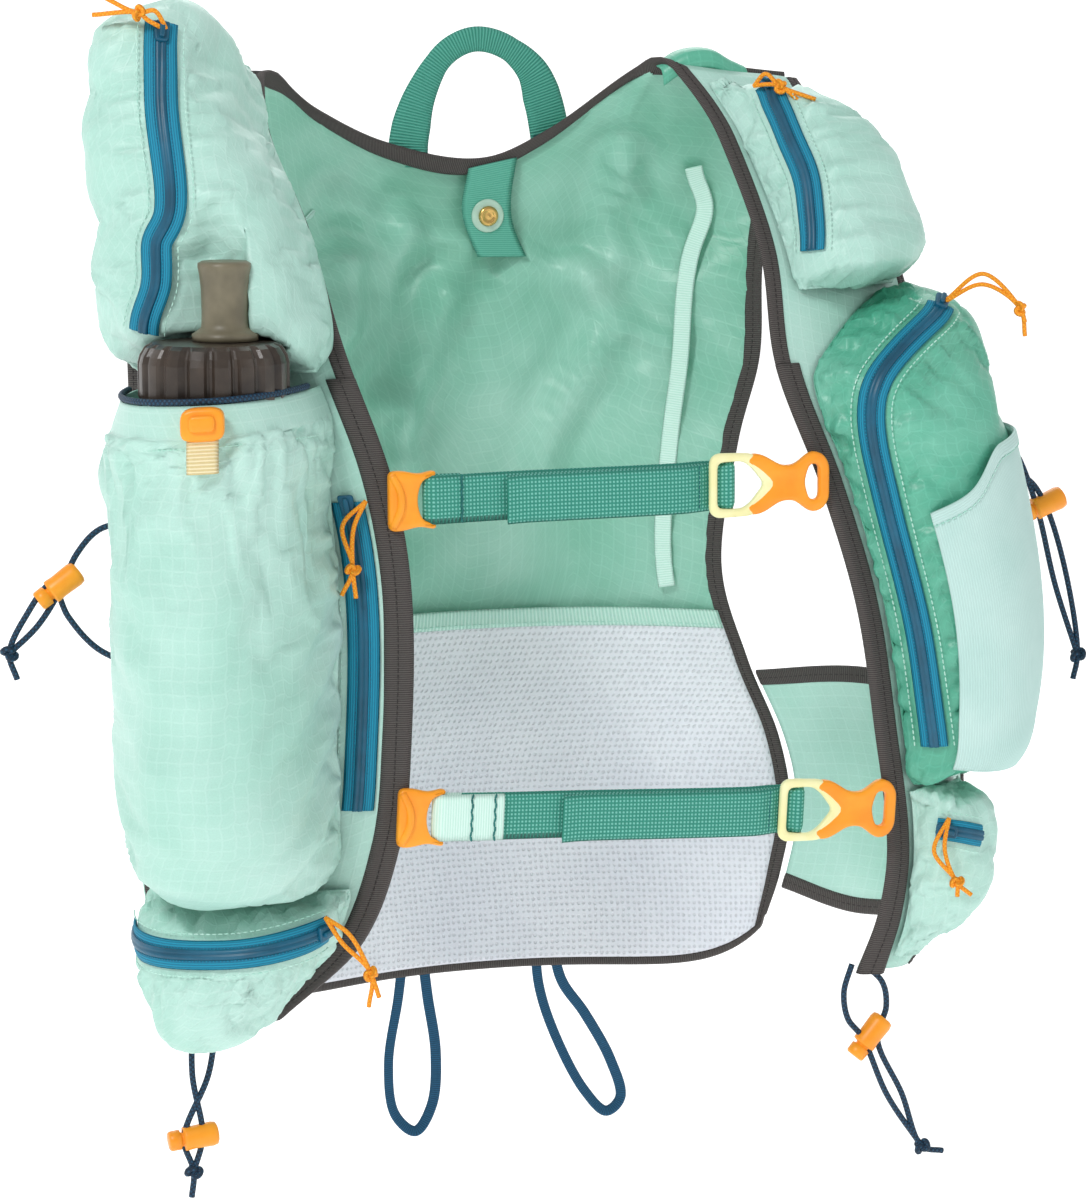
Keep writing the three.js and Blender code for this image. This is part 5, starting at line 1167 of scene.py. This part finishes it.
zips = {
    "right_shoulder": {"on": "right_shoulder_pocket", "width": 13.5,
        "route": [[0.44, 0.09], [0.47, 0.28], [0.5, 0.58], [0.51, 0.78], [0.54, 0.89]]},
    "right_bottom": {"on": "right_bottom_pocket", "width": 12,
        "route": [[0.92, 0.24], [0.7, 0.23], [0.45, 0.21], [0.25, 0.18], [0.13, 0.16]]},
    "left_shoulder": {"on": "left_shoulder_pocket", "width": 12,
        "route": [[0.3, 0.07], [0.21, 0.15], [0.18, 0.3], [0.18, 0.5], [0.15, 0.66], [0.1, 0.85]]},
    "left_side": {"on": "left_side_pocket", "width": 12, "route": [[0.42, 0.035], [0.27, 0.08], [0.17, 0.18],
        [0.11, 0.3], [0.09, 0.42], [0.085, 0.55], [0.09, 0.67], [0.1, 0.8], [0.12, 0.92]]},
    "left_bottom": {"on": "left_bottom_pocket", "width": 9.6,
        "route": [[0.14, 0.2], [0.3, 0.22], [0.46, 0.26]]},
}


def gathers(points, line, near, reach, pitch, depth, seed):
    # short folds square to a seam: an uneven wave along the line that fades over reach beyond near
    local = np.random.default_rng(seed)
    flat = points.reshape(-1, 3)
    gaps = np.linalg.norm(flat[:, None] - line[None], axis=-1)
    place, gap = np.argmin(gaps, axis=1), np.min(gaps, axis=1)
    length = np.concatenate([[0], np.cumsum(np.linalg.norm(np.diff(line, axis=0), axis=1))])[place]
    wave = sum(np.sin(length * 2 * np.pi / (pitch * size) + gap / 9 + local.uniform(0, 6)) * weight for size,
        weight in ((1, 0.5), (1.7, 0.6), (0.62, 0.3)))
    fade = np.clip((gap - near) / 3, 0, 1) * np.exp(-np.maximum(gap - near, 0) / reach)
    return (wave * fade * depth).reshape(points.shape[:2])


def bunched(v):
    return (1 - np.cos(np.pi * v)) / 2


def surfaceLine(place, route, count, hint=None):
    # a route in a surface's own two parameters: points, across and outward vectors along it
    where = throughPoints(np.array(route, float), np.linspace(0, 1, count))
    s, b = where[:, 0], where[:, 1]
    small = 0.004
    hint = np.array([0, -1.0, 0]) if hint is None else np.array(hint, float)
    ds = place(s + small, b) - place(s - small, b)
    db = place(s, b + small) - place(s, b - small)
    points = place(s, b)
    normal = unit(np.cross(ds, db))
    normal *= np.where(normal @ hint < 0, -1, 1)[:, None]
    points = smoothed(points, 6)
    across = unit(np.cross(normal, tangents(points)))
    return points, across, unit(np.cross(tangents(points), across))


zipLines = {}
for name, spec in zips.items():
    zipLines[name] = surfaceLine(lambda s, b, on=spec["on"]: pocketPoint(on, s, b), spec["route"], 90,
        pockets[spec["on"]]["lift"])
casing = surfaceLine(lambda s, b: pocketPoint("right_bottle_pocket", s, b),
    [[0.06, 0.085], [0.3, 0.075], [0.6, 0.08], [0.93, 0.085]], 60, pockets["right_bottle_pocket"]["lift"])
drops = np.linspace(0.452, 0.77, 90)
sideCentre = panelPoint("right", drops, 12 + 1.05 + 6.75)
sideAcross = unit(panelPoint("right", drops, 22) - panelPoint("right", drops, 18))
sideNormal = unit(np.cross(sideAcross, tangents(sideCentre)))
sideNormal *= np.sign(np.mean(sideNormal @ [0, -1, 0]))
zipLines["right_side"] = (sideCentre, sideAcross, sideNormal)

for name, look in pocketLooks.items():
    columns, rows = look["size"]
    b = bunched(np.linspace(0, 1, rows))
    if name == "right_bottle_pocket":
        b = lerp(np.linspace(0, 1, rows), b, np.linspace(0, 1, rows))
    s, b = np.meshgrid(bunched(np.linspace(0, 1, columns)), b, indexing="ij")
    pocket = pocketPoint(name, s, b)
    outward = outwards(pocket, gridNormals(pocket))
    pin = borderPin(columns, rows, 2)
    for zipName, spec in zips.items():
        if spec["on"] == name:
            pin = np.maximum(pin, nearLine(pocket, zipLines[zipName][0][::4], spec["width"] * 0.62,
                spec["width"] * 1.1))
    if name == "right_bottle_pocket":
        pin = np.maximum(pin, (b < 0.06).astype(float))
    calm = 1 - pin
    lift = waves(pocket, 34, look["wave"], 21) * calm
    for zipName, spec in zips.items():
        if spec["on"] == name:
            lift += gathers(pocket, zipLines[zipName][0], spec["width"] * 0.72, 13, 10, 2.6, 5) * calm
    if name == "right_bottle_pocket":
        lift += gathers(pocket, casing[0], 0.5, 16, 9, 2.0, 8) * calm
    for border, seed in ((pocket[2], 31), (pocket[-3], 32), (pocket[:, 1], 33), (pocket[:, -2], 34)):
        lift += gathers(pocket, border[::2], 2.5, 12, 12, 2.2, seed) * calm
    pocket = pocket + outward * lift[..., None]
    piece = clothSheet(f"{name}_cloth", pocket, look["material"], 0.7, replaces=[name], slot=look["slot"])
    crumple(piece, pin, look["slack"], look["fill"], 16, look["cap"])
print("pockets made")

s, v = np.meshgrid(np.linspace(0, 1, 90), np.linspace(0, 1, 90), indexing="ij")
mouthRows = np.array([[0.2, 0.43], [0.35, 0.385], [0.5, 0.3], [1, 0.27]])
stretchS = lerp(0.21, 0.96, s)
mouth = throughRows(mouthRows[:, 0], mouthRows[:, 1:])(stretchS)[..., 0]
stretch = pocketPoint("left_side_pocket", stretchS, lerp(mouth, 0.955, v))
stretch += outwards(stretch,
    gridNormals(stretch)) * (2.4 + 4 * np.sin(np.pi * s) * np.sin(np.pi * v / 2 + 0.6))[..., None]
clothSheet("left_stretch_cloth", stretch, "stretch", 0.9, replaces=["left_stretch_pocket"],
    slot="stretch_cloth")
hemCentre, hemAcross = stretch[:, 0], unit(stretch[:, 3] - stretch[:, 0])
hemNormal = unit(np.cross(hemAcross, tangents(hemCentre)))
hemNormal *= np.sign(np.sum(hemNormal * hemCentre * [1, 1, 0], -1).mean())
bandPiece("stretch_mouth_hem", hemCentre + hemAcross * 2 + hemNormal * 0.5, hemAcross, hemNormal, 6, 1.8,
    "stretch")
stitch("thread", hemCentre + hemAcross * 5 + hemNormal * 0.8, hemNormal, 2.6, 1.9, 0.5)

# Zips: woven tape, coil, stitched edges, slider


def zipPiece(name, line, width, replaces):
    centre, across, normal = line
    tape = sweep(centre + normal * 1.3, across, normal, bandProfile(width, 1.3))
    coilShape = np.array([[-2.3, 0], [-2.0, 0.9], [-0.5, 1.25], [0, 0.7], [0.5, 1.25], [2.0, 0.9], [2.3, 0]])
    coil = sweep(centre + normal * 1.8, across, normal, coilShape)
    makePiece(f"{name}_zip_tape", tape[0], tape[1], "zipTape", tape[2], replaces=replaces, slot="zip_tape")
    makePiece(f"{name}_zip_coil", coil[0], coil[1], "zipCoil", coil[2])
    for sign in (-1, 1):
        stitch("navyThread", centre + normal * 2.0 + across * sign * width * 0.22, normal, 1.5, 1.1, 0.4, 0.0)
        stitch("thread", centre + normal * 0.9 + across * sign * (width / 2 + 2.6), normal, 2.6, 1.9, 0.6, 0.2)


for name, line in zipLines.items():
    width = zips[name]["width"] if name in zips else 13.5
    zipPiece(name, line, width, [f"{name}_zip"])


def sliderParts(centre, along, across, normal):
    # a slider body with a raised bridge, as two bevelled plates
    block, faces, _ = outlineSolid([[[-4.5, -3.4], [4.5, -2.6], [4.5, 2.6], [-4.5, 3.4]]], 2.2, 0.7)
    bridge, bridgeFaces, _ = outlineSolid([[[-3.2, -1.1], [3.4, -1.1], [3.4, 1.1], [-3.2, 1.1]]], 1.8, 0.6)
    axes = (centre, along, across, normal)
    return joined([turned((block, faces, None), *axes),
        turned((bridge, bridgeFaces, None), centre + normal * 1.9, along, across, normal)])


for name, pull in pulls.items():
    centre, across, normal = zipLines[name]
    k = int(np.argmin(np.linalg.norm(centre - np.array(pull["route"][0]), axis=1)))
    part = sliderParts(centre[k] + normal[k] * 3.2, tangents(centre)[k], across[k], normal[k])
    weldAndTurn(makePiece(f"{name}_slider", *part[:2], "zipCoil", part[2], smooth=False))
print("zips made")

# Bottle: soft flask, fluted cap, bite valve
height, radius = bottle["height"], bottle["radius"]
flask = [(0.5, 0), (radius * 0.7, 0.6), (radius * 0.93, 4), (radius, 12), (radius, height * 0.82),
    (radius * 0.97, height * 0.92), (radius * 0.92, height), (0.5, height)]
flaskPart = lathe(flask, 64,
    bottleAxis + np.array([0, 0, bottle["capTop"] - bottle["capHeight"] - height - 0.4 - bottleAxis[2]]))
makePiece("bottle_flask", *flaskPart[:2], "bottle", flaskPart[2], replaces=["bottle_body"],
    slot="smoked_plastic")
capBase = np.array([bottleAxis[0], bottleAxis[1], bottle["capTop"] - bottle["capHeight"]])
capProfile = [(1, 0), (27, 0), (28.6, 0.8), (30, 2.5), (30, 16), (29.2, 19), (27.2, 22.2), (24.5, 23.6),
    (12, 24), (1, 24)]


def flutes(angle, profile):
    # eighteen flat-sided ribs round the skirt that die out on the top
    wall = np.clip((profile[:, :1] - 23) / 4, 0, 1)
    lobe = np.abs((angle * 9 / np.pi + 0.3) % 1 - 0.5) * 2
    return 1 - 0.07 * wall * np.clip((lobe - 0.55) / 0.3, 0, 1)


capPart = lathe(capProfile, 176, capBase, flutes)
makePiece("bottle_fluted_cap", *capPart[:2], "smoke", capPart[2], replaces=["bottle_cap"],
    slot="smoked_plastic", smooth=False)
valveBase = np.array([bottleAxis[0] + 5, bottleAxis[1] + 1, bottle["capTop"] + 0.2])
valveProfile = [(1, 0), (13, 0), (13.2, 2.4), (11.4, 3.6), (9.6, 5), (9.3, 7), (9.2, 12), (9.4, 20), (10, 26),
    (10.6, 29), (10.5, 30.4), (9, 31.2), (4, 31), (1, 30.6)]
valvePart = lathe(valveProfile, 64, valveBase)
makePiece("bottle_bite_valve", *valvePart[:2], "valve", valvePart[2], replaces=["bottle_valve"],
    slot="valve_plastic")
print("bottle made")

stitch("thread", casing[0] + casing[2] * 0.6, casing[2], 2.4, 1.8, 0.55)
# mouth cord of the bottle pocket, its lock and pull tab
mouthLine = pocketPoint("right_bottle_pocket", np.linspace(0.06, 0.93, 90), 0 * np.linspace(0, 1, 90)) + [0, 0,
    1.65]
verts, faces, uv = tubeAlong(mouthLine, 2.6, 12)
mouthCord = makePiece("bottle_mouth_cord", verts, faces, "navyCord", uv, replaces=["bottle_pocket_cord"],
    slot="navy_cord")
lockPlace = surfaceLine(lambda s, b: pocketPoint("right_bottle_pocket", s, b),
    [[0.38, 0.03], [0.43, 0.03], [0.48, 0.03]], 9, pockets["right_bottle_pocket"]["lift"])
origin, _, lockNormal = (a[4] for a in lockPlace)
lockX = tangents(lockPlace[0])[4]
lockUp = np.array([0, 0, 1.0])
lockFront = unit(np.cross(lockX, lockUp)) * np.sign(np.cross(lockX, lockUp) @ lockNormal)
lockOutline = [[-8.5, -5], [-5, -6.5], [5, -6.5], [8.5, -5], [8.5, 4.5], [5, 6.5], [-5, 6.5], [-8.5, 4.5]]
lockPart = turned(outlineSolid([lockOutline], 8, 1.6), origin + lockFront * 6.0, lockX, lockUp, lockFront)
lockPiece = makePiece("bottle_lock", *lockPart[:2], "orange", None, replaces=["bottle_cord_lock"],
    slot="orange_plastic")
weldAndTurn(lockPiece)
knobPart = turned(outlineSolid([[[-5, -3.2], [5, -3.2], [5, 3.2], [-5, 3.2]]], 3, 1.1),
    origin + lockFront * 10.4 + lockUp * 0.6, lockX, lockUp, lockFront)
weldAndTurn(makePiece("bottle_lock_button", *knobPart[:2], "orange"))
tabLine = origin + lockFront * 6.5 + np.array([[0, 0, -5], [0, 0, -10], [0, 0, -15],
    [0, 0, -19]]) + lockFront * np.array([[0], [1.5], [2.4], [2.0]])
tabCurve = throughPoints(tabLine, np.linspace(0, 1, 24))
bandPiece("bottle_lock_tab", tabCurve, np.repeat(lockX[None], 24, 0),
    unit(np.cross(tangents(tabCurve), lockX[None])), 12.5, 1.6, "tabCream")

# Sternum straps
straps = {
    "upper": {"rightDrop": 0.452, "leftDrop": 0.449, "lap": 45, "tab": 0},
    "lower": {"rightDrop": 0.777, "leftDrop": 0.803, "lap": 66, "tab": 40},
}
strapSizes = {"width": 20, "wall": 1.6, "buckleWall": 4.5, "sliderWall": 3.4, "seat": 0.35, "long": 37,
    "over": 3, "sliderLong": 16}


def strapParts(name, strap):
    w = strapSizes
    right, left = panelEdges("right", strap["rightDrop"])[0], panelEdges("left", strap["leftDrop"])[0]
    x = unit(left - right)
    z = unit(np.array([0, 0, 1.0]) - x * x[2])
    front = -np.cross(z, x)
    origin = right + front * 4.0
    span = np.linalg.norm(left - right)
    flat = lambda part, forward=0.0: turned(part, origin + front * forward, x, z, np.cross(x, z))
    at = lambda along, forward, up=0.0: origin + x * along + front * forward + z * up
    hook = [[-5, -12], [0, -12.4], [8, -10.6], [14.5, -12.2], [15, -9.6], [9.4, -8.6], [7.2, -3], [7.2, 3],
        [9.4, 8.6], [15, 9.6], [14.5, 12.2],
            [8, 10.6], [0, 12.4], [-5, 12]]
    part = flat(outlineSolid([hook], w["buckleWall"], 1.3))
    weldAndTurn(makePiece(f"{name}_hook_clip", *part[:2], "orange", None, replaces=[f"{name}_strap_hook"],
        slot="orange_plastic"))
    bar = tubeAlong(np.stack([at(12.6, -0.6, -11), at(12.8, -0.9, 0), at(12.6, -0.6, 11)]), 2.6, 12)
    makePiece(f"{name}_hook_bar", *bar[:2], "orange", bar[2])
    ridge = tubeAlong(throughPoints([at(-3.6, 1.4, -10.5), at(-0.4, 2.2, -3.4), at(-0.4, 2.2, 3.4),
        at(-3.6, 1.4, 10.5)], np.linspace(0, 1, 20)), 3.4, 14)
    makePiece(f"{name}_hook_ridge", *ridge[:2], "orange", ridge[2])
    start = span - w["long"] + w["over"]
    end, middle = start + w["long"], start + w["long"] / 2
    shape = [[start - 1, -9.5], [start + 2, -13], [start + 7, -12.4], [middle - 3, -7.4], [middle + 3, -7.4],
        [end - 8, -13], [end - 3, -11.8],
             [end, -7.5], [end, 7.5], [end - 3, 11.8], [end - 8, 13], [middle + 3, 7.4], [middle - 3,
                 7.4], [start + 7, 12.4], [start + 2, 13], [start - 1, 9.5],
             [start + 5, 6], [middle - 7, 0], [start + 5, -6]]
    far = [[end - 4.5, -7.4], [end - 4.5, 7.4], [end - 9, 7.6], [middle + 7.2, 0], [end - 9, -7.6]]
    part = flat(outlineSolid([shape, far[::-1]], w["buckleWall"], 1.4))
    weldAndTurn(makePiece(f"{name}_buckle_cross", *part[:2], "orange", None, replaces=[f"{name}_strap_buckle"],
        slot="orange_plastic"))
    sliderStart = start - w["seat"] - w["sliderLong"]
    sEnd = start + 12
    rim = [[sliderStart, -11], [sliderStart + 3, -13.6], [start + 2, -13.2], [sEnd, -7.4], [sEnd + 3, 0],
        [sEnd, 7.4], [start + 2, 13.2], [sliderStart + 3, 13.6], [sliderStart, 11]]
    hole = [[sliderStart + 3.4, -9.6], [start - 2, -10], [start + 2, -7.4], [sEnd - 4, 0], [start + 2, 7.4],
        [start - 2, 10], [sliderStart + 3.4, 9.6]]
    part = flat(outlineSolid([rim, hole[::-1]], w["sliderWall"], 1.3), 0.4)
    weldAndTurn(makePiece(f"{name}_frame", *part[:2], "cream", None, replaces=[f"{name}_strap_slider"],
        slot="cream_plastic"))
    layer = w["wall"] / 2 + w["seat"]
    bar = sliderStart + 8
    green = [at(strap["lap"], layer * 1.5), at(strap["lap"] + 8, layer * 1.1), at(sliderStart - 12, layer),
        at(sliderStart - 4, -0.6), at(sliderStart + 2, -2.3), at(bar - 2, -0.2), at(bar + 1, 0.9),
             at(bar + 3.2, -1.6), at(bar, -4.4), at(sliderStart - 2, -4.8), at(sliderStart - 14,
                 -layer * 1.6), at(strap["lap"] + 4, -layer)]
    if strap["tab"]:
        green += [at(strap["tab"] - 4, 0), at(22, 0)]
    else:
        green += [at(34, 0), at(24, 1.2), at(17, 2.0), at(12.8, 2.0), at(10.4, -0.6), at(12.8, -3.4),
            at(18, -3.0), at(26, -2.4)]
    line = throughPoints(green, np.linspace(0, 1, 200))
    up = np.repeat(z[None], len(line), 0)
    droop = np.interp(np.linspace(0, 1, 200), [0, 0.1, 0.35, 1], [-1.6, -1.0, 0, 0])[:, None]
    line = line + z * droop
    bandPiece(f"{name}_webbing_band", line, up, unit(np.cross(tangents(line), up)), w["width"], w["wall"],
        "webbing", replaces=[f"{name}_strap_webbing"], slot="webbing")
    if strap["tab"]:
        pale = [at(strap["tab"], 1.9), at(24, 2.1), at(17, 2.2), at(12.8, 2.0), at(10.4, -0.6), at(12.8, -3.4),
            at(18, -2.4), at(strap["tab"], -2.0)]
        paleLine = throughPoints(pale, np.linspace(0, 1, 90))
        up = np.repeat(z[None], len(paleLine), 0)
        bandPiece(f"{name}_pale_tab", paleLine, up, unit(np.cross(tangents(paleLine), up)), w["width"] - 0.5,
            1.4, "tape", replaces=[f"{name}_strap_tab"], slot="pale_tape")
        rows = [(26, 2.9), (36, 2.8)]
    else:
        rows = [(25.5, 2.2)]
    for along, forward in rows:
        zig = np.array([at(along + 0.22 * (-1) ** k, forward, up) for k,
            up in enumerate(np.linspace(-9.8, 9.8, 9))])
        stitch("greenThread", throughPoints(zig, np.linspace(0, 1, 60)), np.repeat(front[None], 60, 0), 1.9,
            2.2, 0.9, 0.0)
    cross = np.array([at(sliderStart - 5, 2.1, up) for up in np.linspace(-9, 9, 9)])
    stitch("greenThread", cross, np.repeat(front[None], 9, 0), 2.0, 1.7, 0.7, 0.1)


for name, strap in straps.items():
    strapParts(name, strap)
print("straps made")

# Loops and tabs on the back
loopRoute = [[-34, -54], [-33.5, -40], [-29, -22], [-18, -4], [-5, 2.5], [9, 0], [23, -11], [29.5, -26],
    [34, -44]]
loopBow = {"y": 94.5, "bow": 6}
loopPoints = [
    [x, loopBow["y"] - loopBow["bow"] * math.sin(math.pi * k / 8), z] for k, (x, z) in enumerate(loopRoute)]
t = np.linspace(0, 1, 120)
line = throughPoints(np.array(loopPoints, float), t)
across = unit(np.cross(tangents(line), [0, 1, 0]))
normal = np.cross(tangents(line), across)
half = np.interp(t, [0, 0.16, 0.34, 0.66, 0.84, 1], [9.5, 9, 5.6, 5.6, 9, 9.5])
base = bandProfile(2, 2.4)
verts = line[:, None] + across[:, None] * base[None, :, :1] * half[:, None, None]
verts = verts + normal[:, None] * base[None, :, 1:]
_, faces, uv = sweep(line, across, normal, bandProfile(19, 2.4))
makePiece("hang_loop_webbing", verts.reshape(-1, 3), faces, "loopWebbing", uv, replaces=["hang_loop"],
    slot="webbing")
for k in (4, 115):
    bar = line[k] + across[k] * np.linspace(-8.5, 8.5, 24)[:, None]
    stitch("greenThread", bar, np.repeat([[0, -1.0, 0]], 24, 0), 0.8, 1.6, 0.7, 1.4)
tabS, tabV = np.linspace(0.04, 0.11, 40), np.linspace(0.012, 0.17, 40)
tabCentre = backPoint(tabS, tabV) + [0, -3.0, 0]
tabAcross = unit(backPoint(tabS + 0.05, tabV) - backPoint(tabS - 0.05, tabV))
tabNormal = unit(np.cross(tabAcross, tangents(tabCentre)))
tabNormal *= np.sign(np.mean(tabNormal @ [0, -1, 0]))
bandPiece("snap_tab_cloth", tabCentre, tabAcross, tabNormal, 23, 1.4, "tabWebbing", replaces=["snap_tab"],
    slot="inner_cloth")
snapCentre = tabCentre[22] + tabNormal[22] * 0.8
snapParts = lathe([(0.2, 0), (7.4, 0), (7.6, 0.5), (7.0, 1.0), (5.2, 1.1), (0.2, 1.1)], 40, (0, 0, 0))
ringPart = turned(snapParts, snapCentre, tabAcross[22], np.cross(tabNormal[22], tabAcross[22]), tabNormal[22])
weldAndTurn(makePiece("snap_ring", *ringPart[:2], "ring", ringPart[2]))
studParts = lathe([(0.2, 0), (4.4, 0), (4.6, 0.8), (4.0, 1.6), (3.0, 1.9), (2.4, 1.3), (1.4, 1.2), (0.2, 1.5)],
    40, (0, 0, 0))
studPart = turned(studParts, snapCentre + tabNormal[22] * 1.1, tabAcross[22],
    np.cross(tabNormal[22], tabAcross[22]), tabNormal[22])
weldAndTurn(makePiece("snap_stud", *studPart[:2], "brass", studPart[2]))
tapeLine = surfaceLine(backPoint, [[0.72, 0.07], [0.8, 0.12], [0.76, 0.19], [0.74, 0.28], [0.76, 0.4],
    [0.79, 0.53]], 90)
tapeNormal = tapeLine[2] * np.sign(np.mean(tapeLine[2] @ [0, -1, 0]))
bandPiece("inner_tape_band", tapeLine[0] + tapeNormal * 2.8, tapeLine[1], tapeNormal, 8, 0.9, "tape",
    replaces=["inner_tape"], slot="pale_tape")
poleLoops = {
    "right": [[-34, -414], [-37, -440], [-42, -472], [-39, -497], [-29, -506], [-21, -494], [-19, -469],
        [-23, -440], [-26, -414]],
    "left": [[30, -414], [32, -440], [40, -465], [55, -494], [66, -505], [73, -499], [68, -480], [55, -456],
        [43, -438], [38, -414]],
}
for side, route in poleLoops.items():
    line = throughPoints(np.array([[x, 107.2, z] for x, z in route], float), np.linspace(0, 1, 120))
    across = unit(np.cross(tangents(line), [0, 1, 0]))
    twist = 0.3 * np.sin(np.linspace(0, np.pi, 120))[:, None]
    turnedAcross = unit(across * np.cos(twist) + np.array([0, 1.0, 0]) * np.sin(twist))
    bandPiece(f"{side}_pole_loop_webbing", line, turnedAcross, unit(np.cross(tangents(line), turnedAcross)), 5,
        1.1, "poleWebbing",
              replaces=[f"{side}_pole_loop"], slot="pole_webbing")
# a turned-over end of the shoulder cloth: its line, then how far it hangs and puffs
shoulderFold = {"hang": 13, "puffY": -3.5, "puffZ": 2.6}
fold = np.array([[66, 47, -9], [76, 44, -2.5], [88, 42, -1.5], [97, 42, -6], [104, 42, -9]], float)
foldLine = throughPoints(fold, np.linspace(0, 1, 40))
foldDown = np.array([0.1, -0.75, -0.66])
t, w = np.meshgrid(np.linspace(0, 1, 40), np.linspace(0, 1, 14), indexing="ij")
foldGrid = foldLine[:, None] + foldDown * (w * shoulderFold["hang"])[..., None] + stacked(0 * w,
    shoulderFold["puffY"] * np.sin(np.pi * w), shoulderFold["puffZ"] * np.sin(np.pi * w))
clothSheet("left_shoulder_fold", foldGrid, "side", 0.9)
print("loops made")

for group, rows in stitchRows.items():
    verts, faces, _ = joined(rows)
    makePiece(f"{group}_stitches", verts, faces, group)
print("stitches made")

# Floor and light
bpy.ops.mesh.primitive_plane_add(size=24, location=(0, 6, -0.56))
floor = bpy.context.object
floor.name = "floor"
paper = startMaterial("whitePaper",
    {"Base Color": toLinear("#ffffff"), "Roughness": 0.9, "Emission Color": (1, 1, 1, 1),
    "Emission Strength": 0.4})[0]
floor.data.materials.append(paper)
wallMesh = bpy.data.meshes.new("backdrop")
wallMesh.from_pydata([(-12, 7, -0.56), (12, 7, -0.56), (12, 7, 9), (-12, 7, 9)], [], [(0, 1, 2, 3)])
wallMesh.materials.append(paper)
backdrop = bpy.data.objects.new("backdrop", wallMesh)
bpy.context.scene.collection.objects.link(backdrop)
world = bpy.data.worlds.new("studio")
world.use_nodes = True
world.node_tree.nodes["Background"].inputs["Color"].default_value = (1, 1, 1, 1)
world.node_tree.nodes["Background"].inputs["Strength"].default_value = 0.5
bpy.context.scene.world = world


def softBox(name, place, aim, size, watts):
    lamp = bpy.data.lights.new(name, "AREA")
    lamp.energy, lamp.size = watts, size
    holder = bpy.data.objects.new(name, lamp)
    bpy.context.scene.collection.objects.link(holder)
    holder.location = place
    holder.rotation_euler = (Vector(aim) - Vector(place)).to_track_quat("-Z", "Y").to_euler()
    return holder


lamps = [
    softBox("key_light", (-1.6, -1.5, 1.6), (0, 0, -0.2), 0.55, 33),
    softBox("fill_light", (1.8, -1.2, 0.5), (0, 0, -0.2), 1.2, 4),
    softBox("back_light", (0.6, 1.8, 1.4), (0, 0, -0.2), 1.5, 14),
]
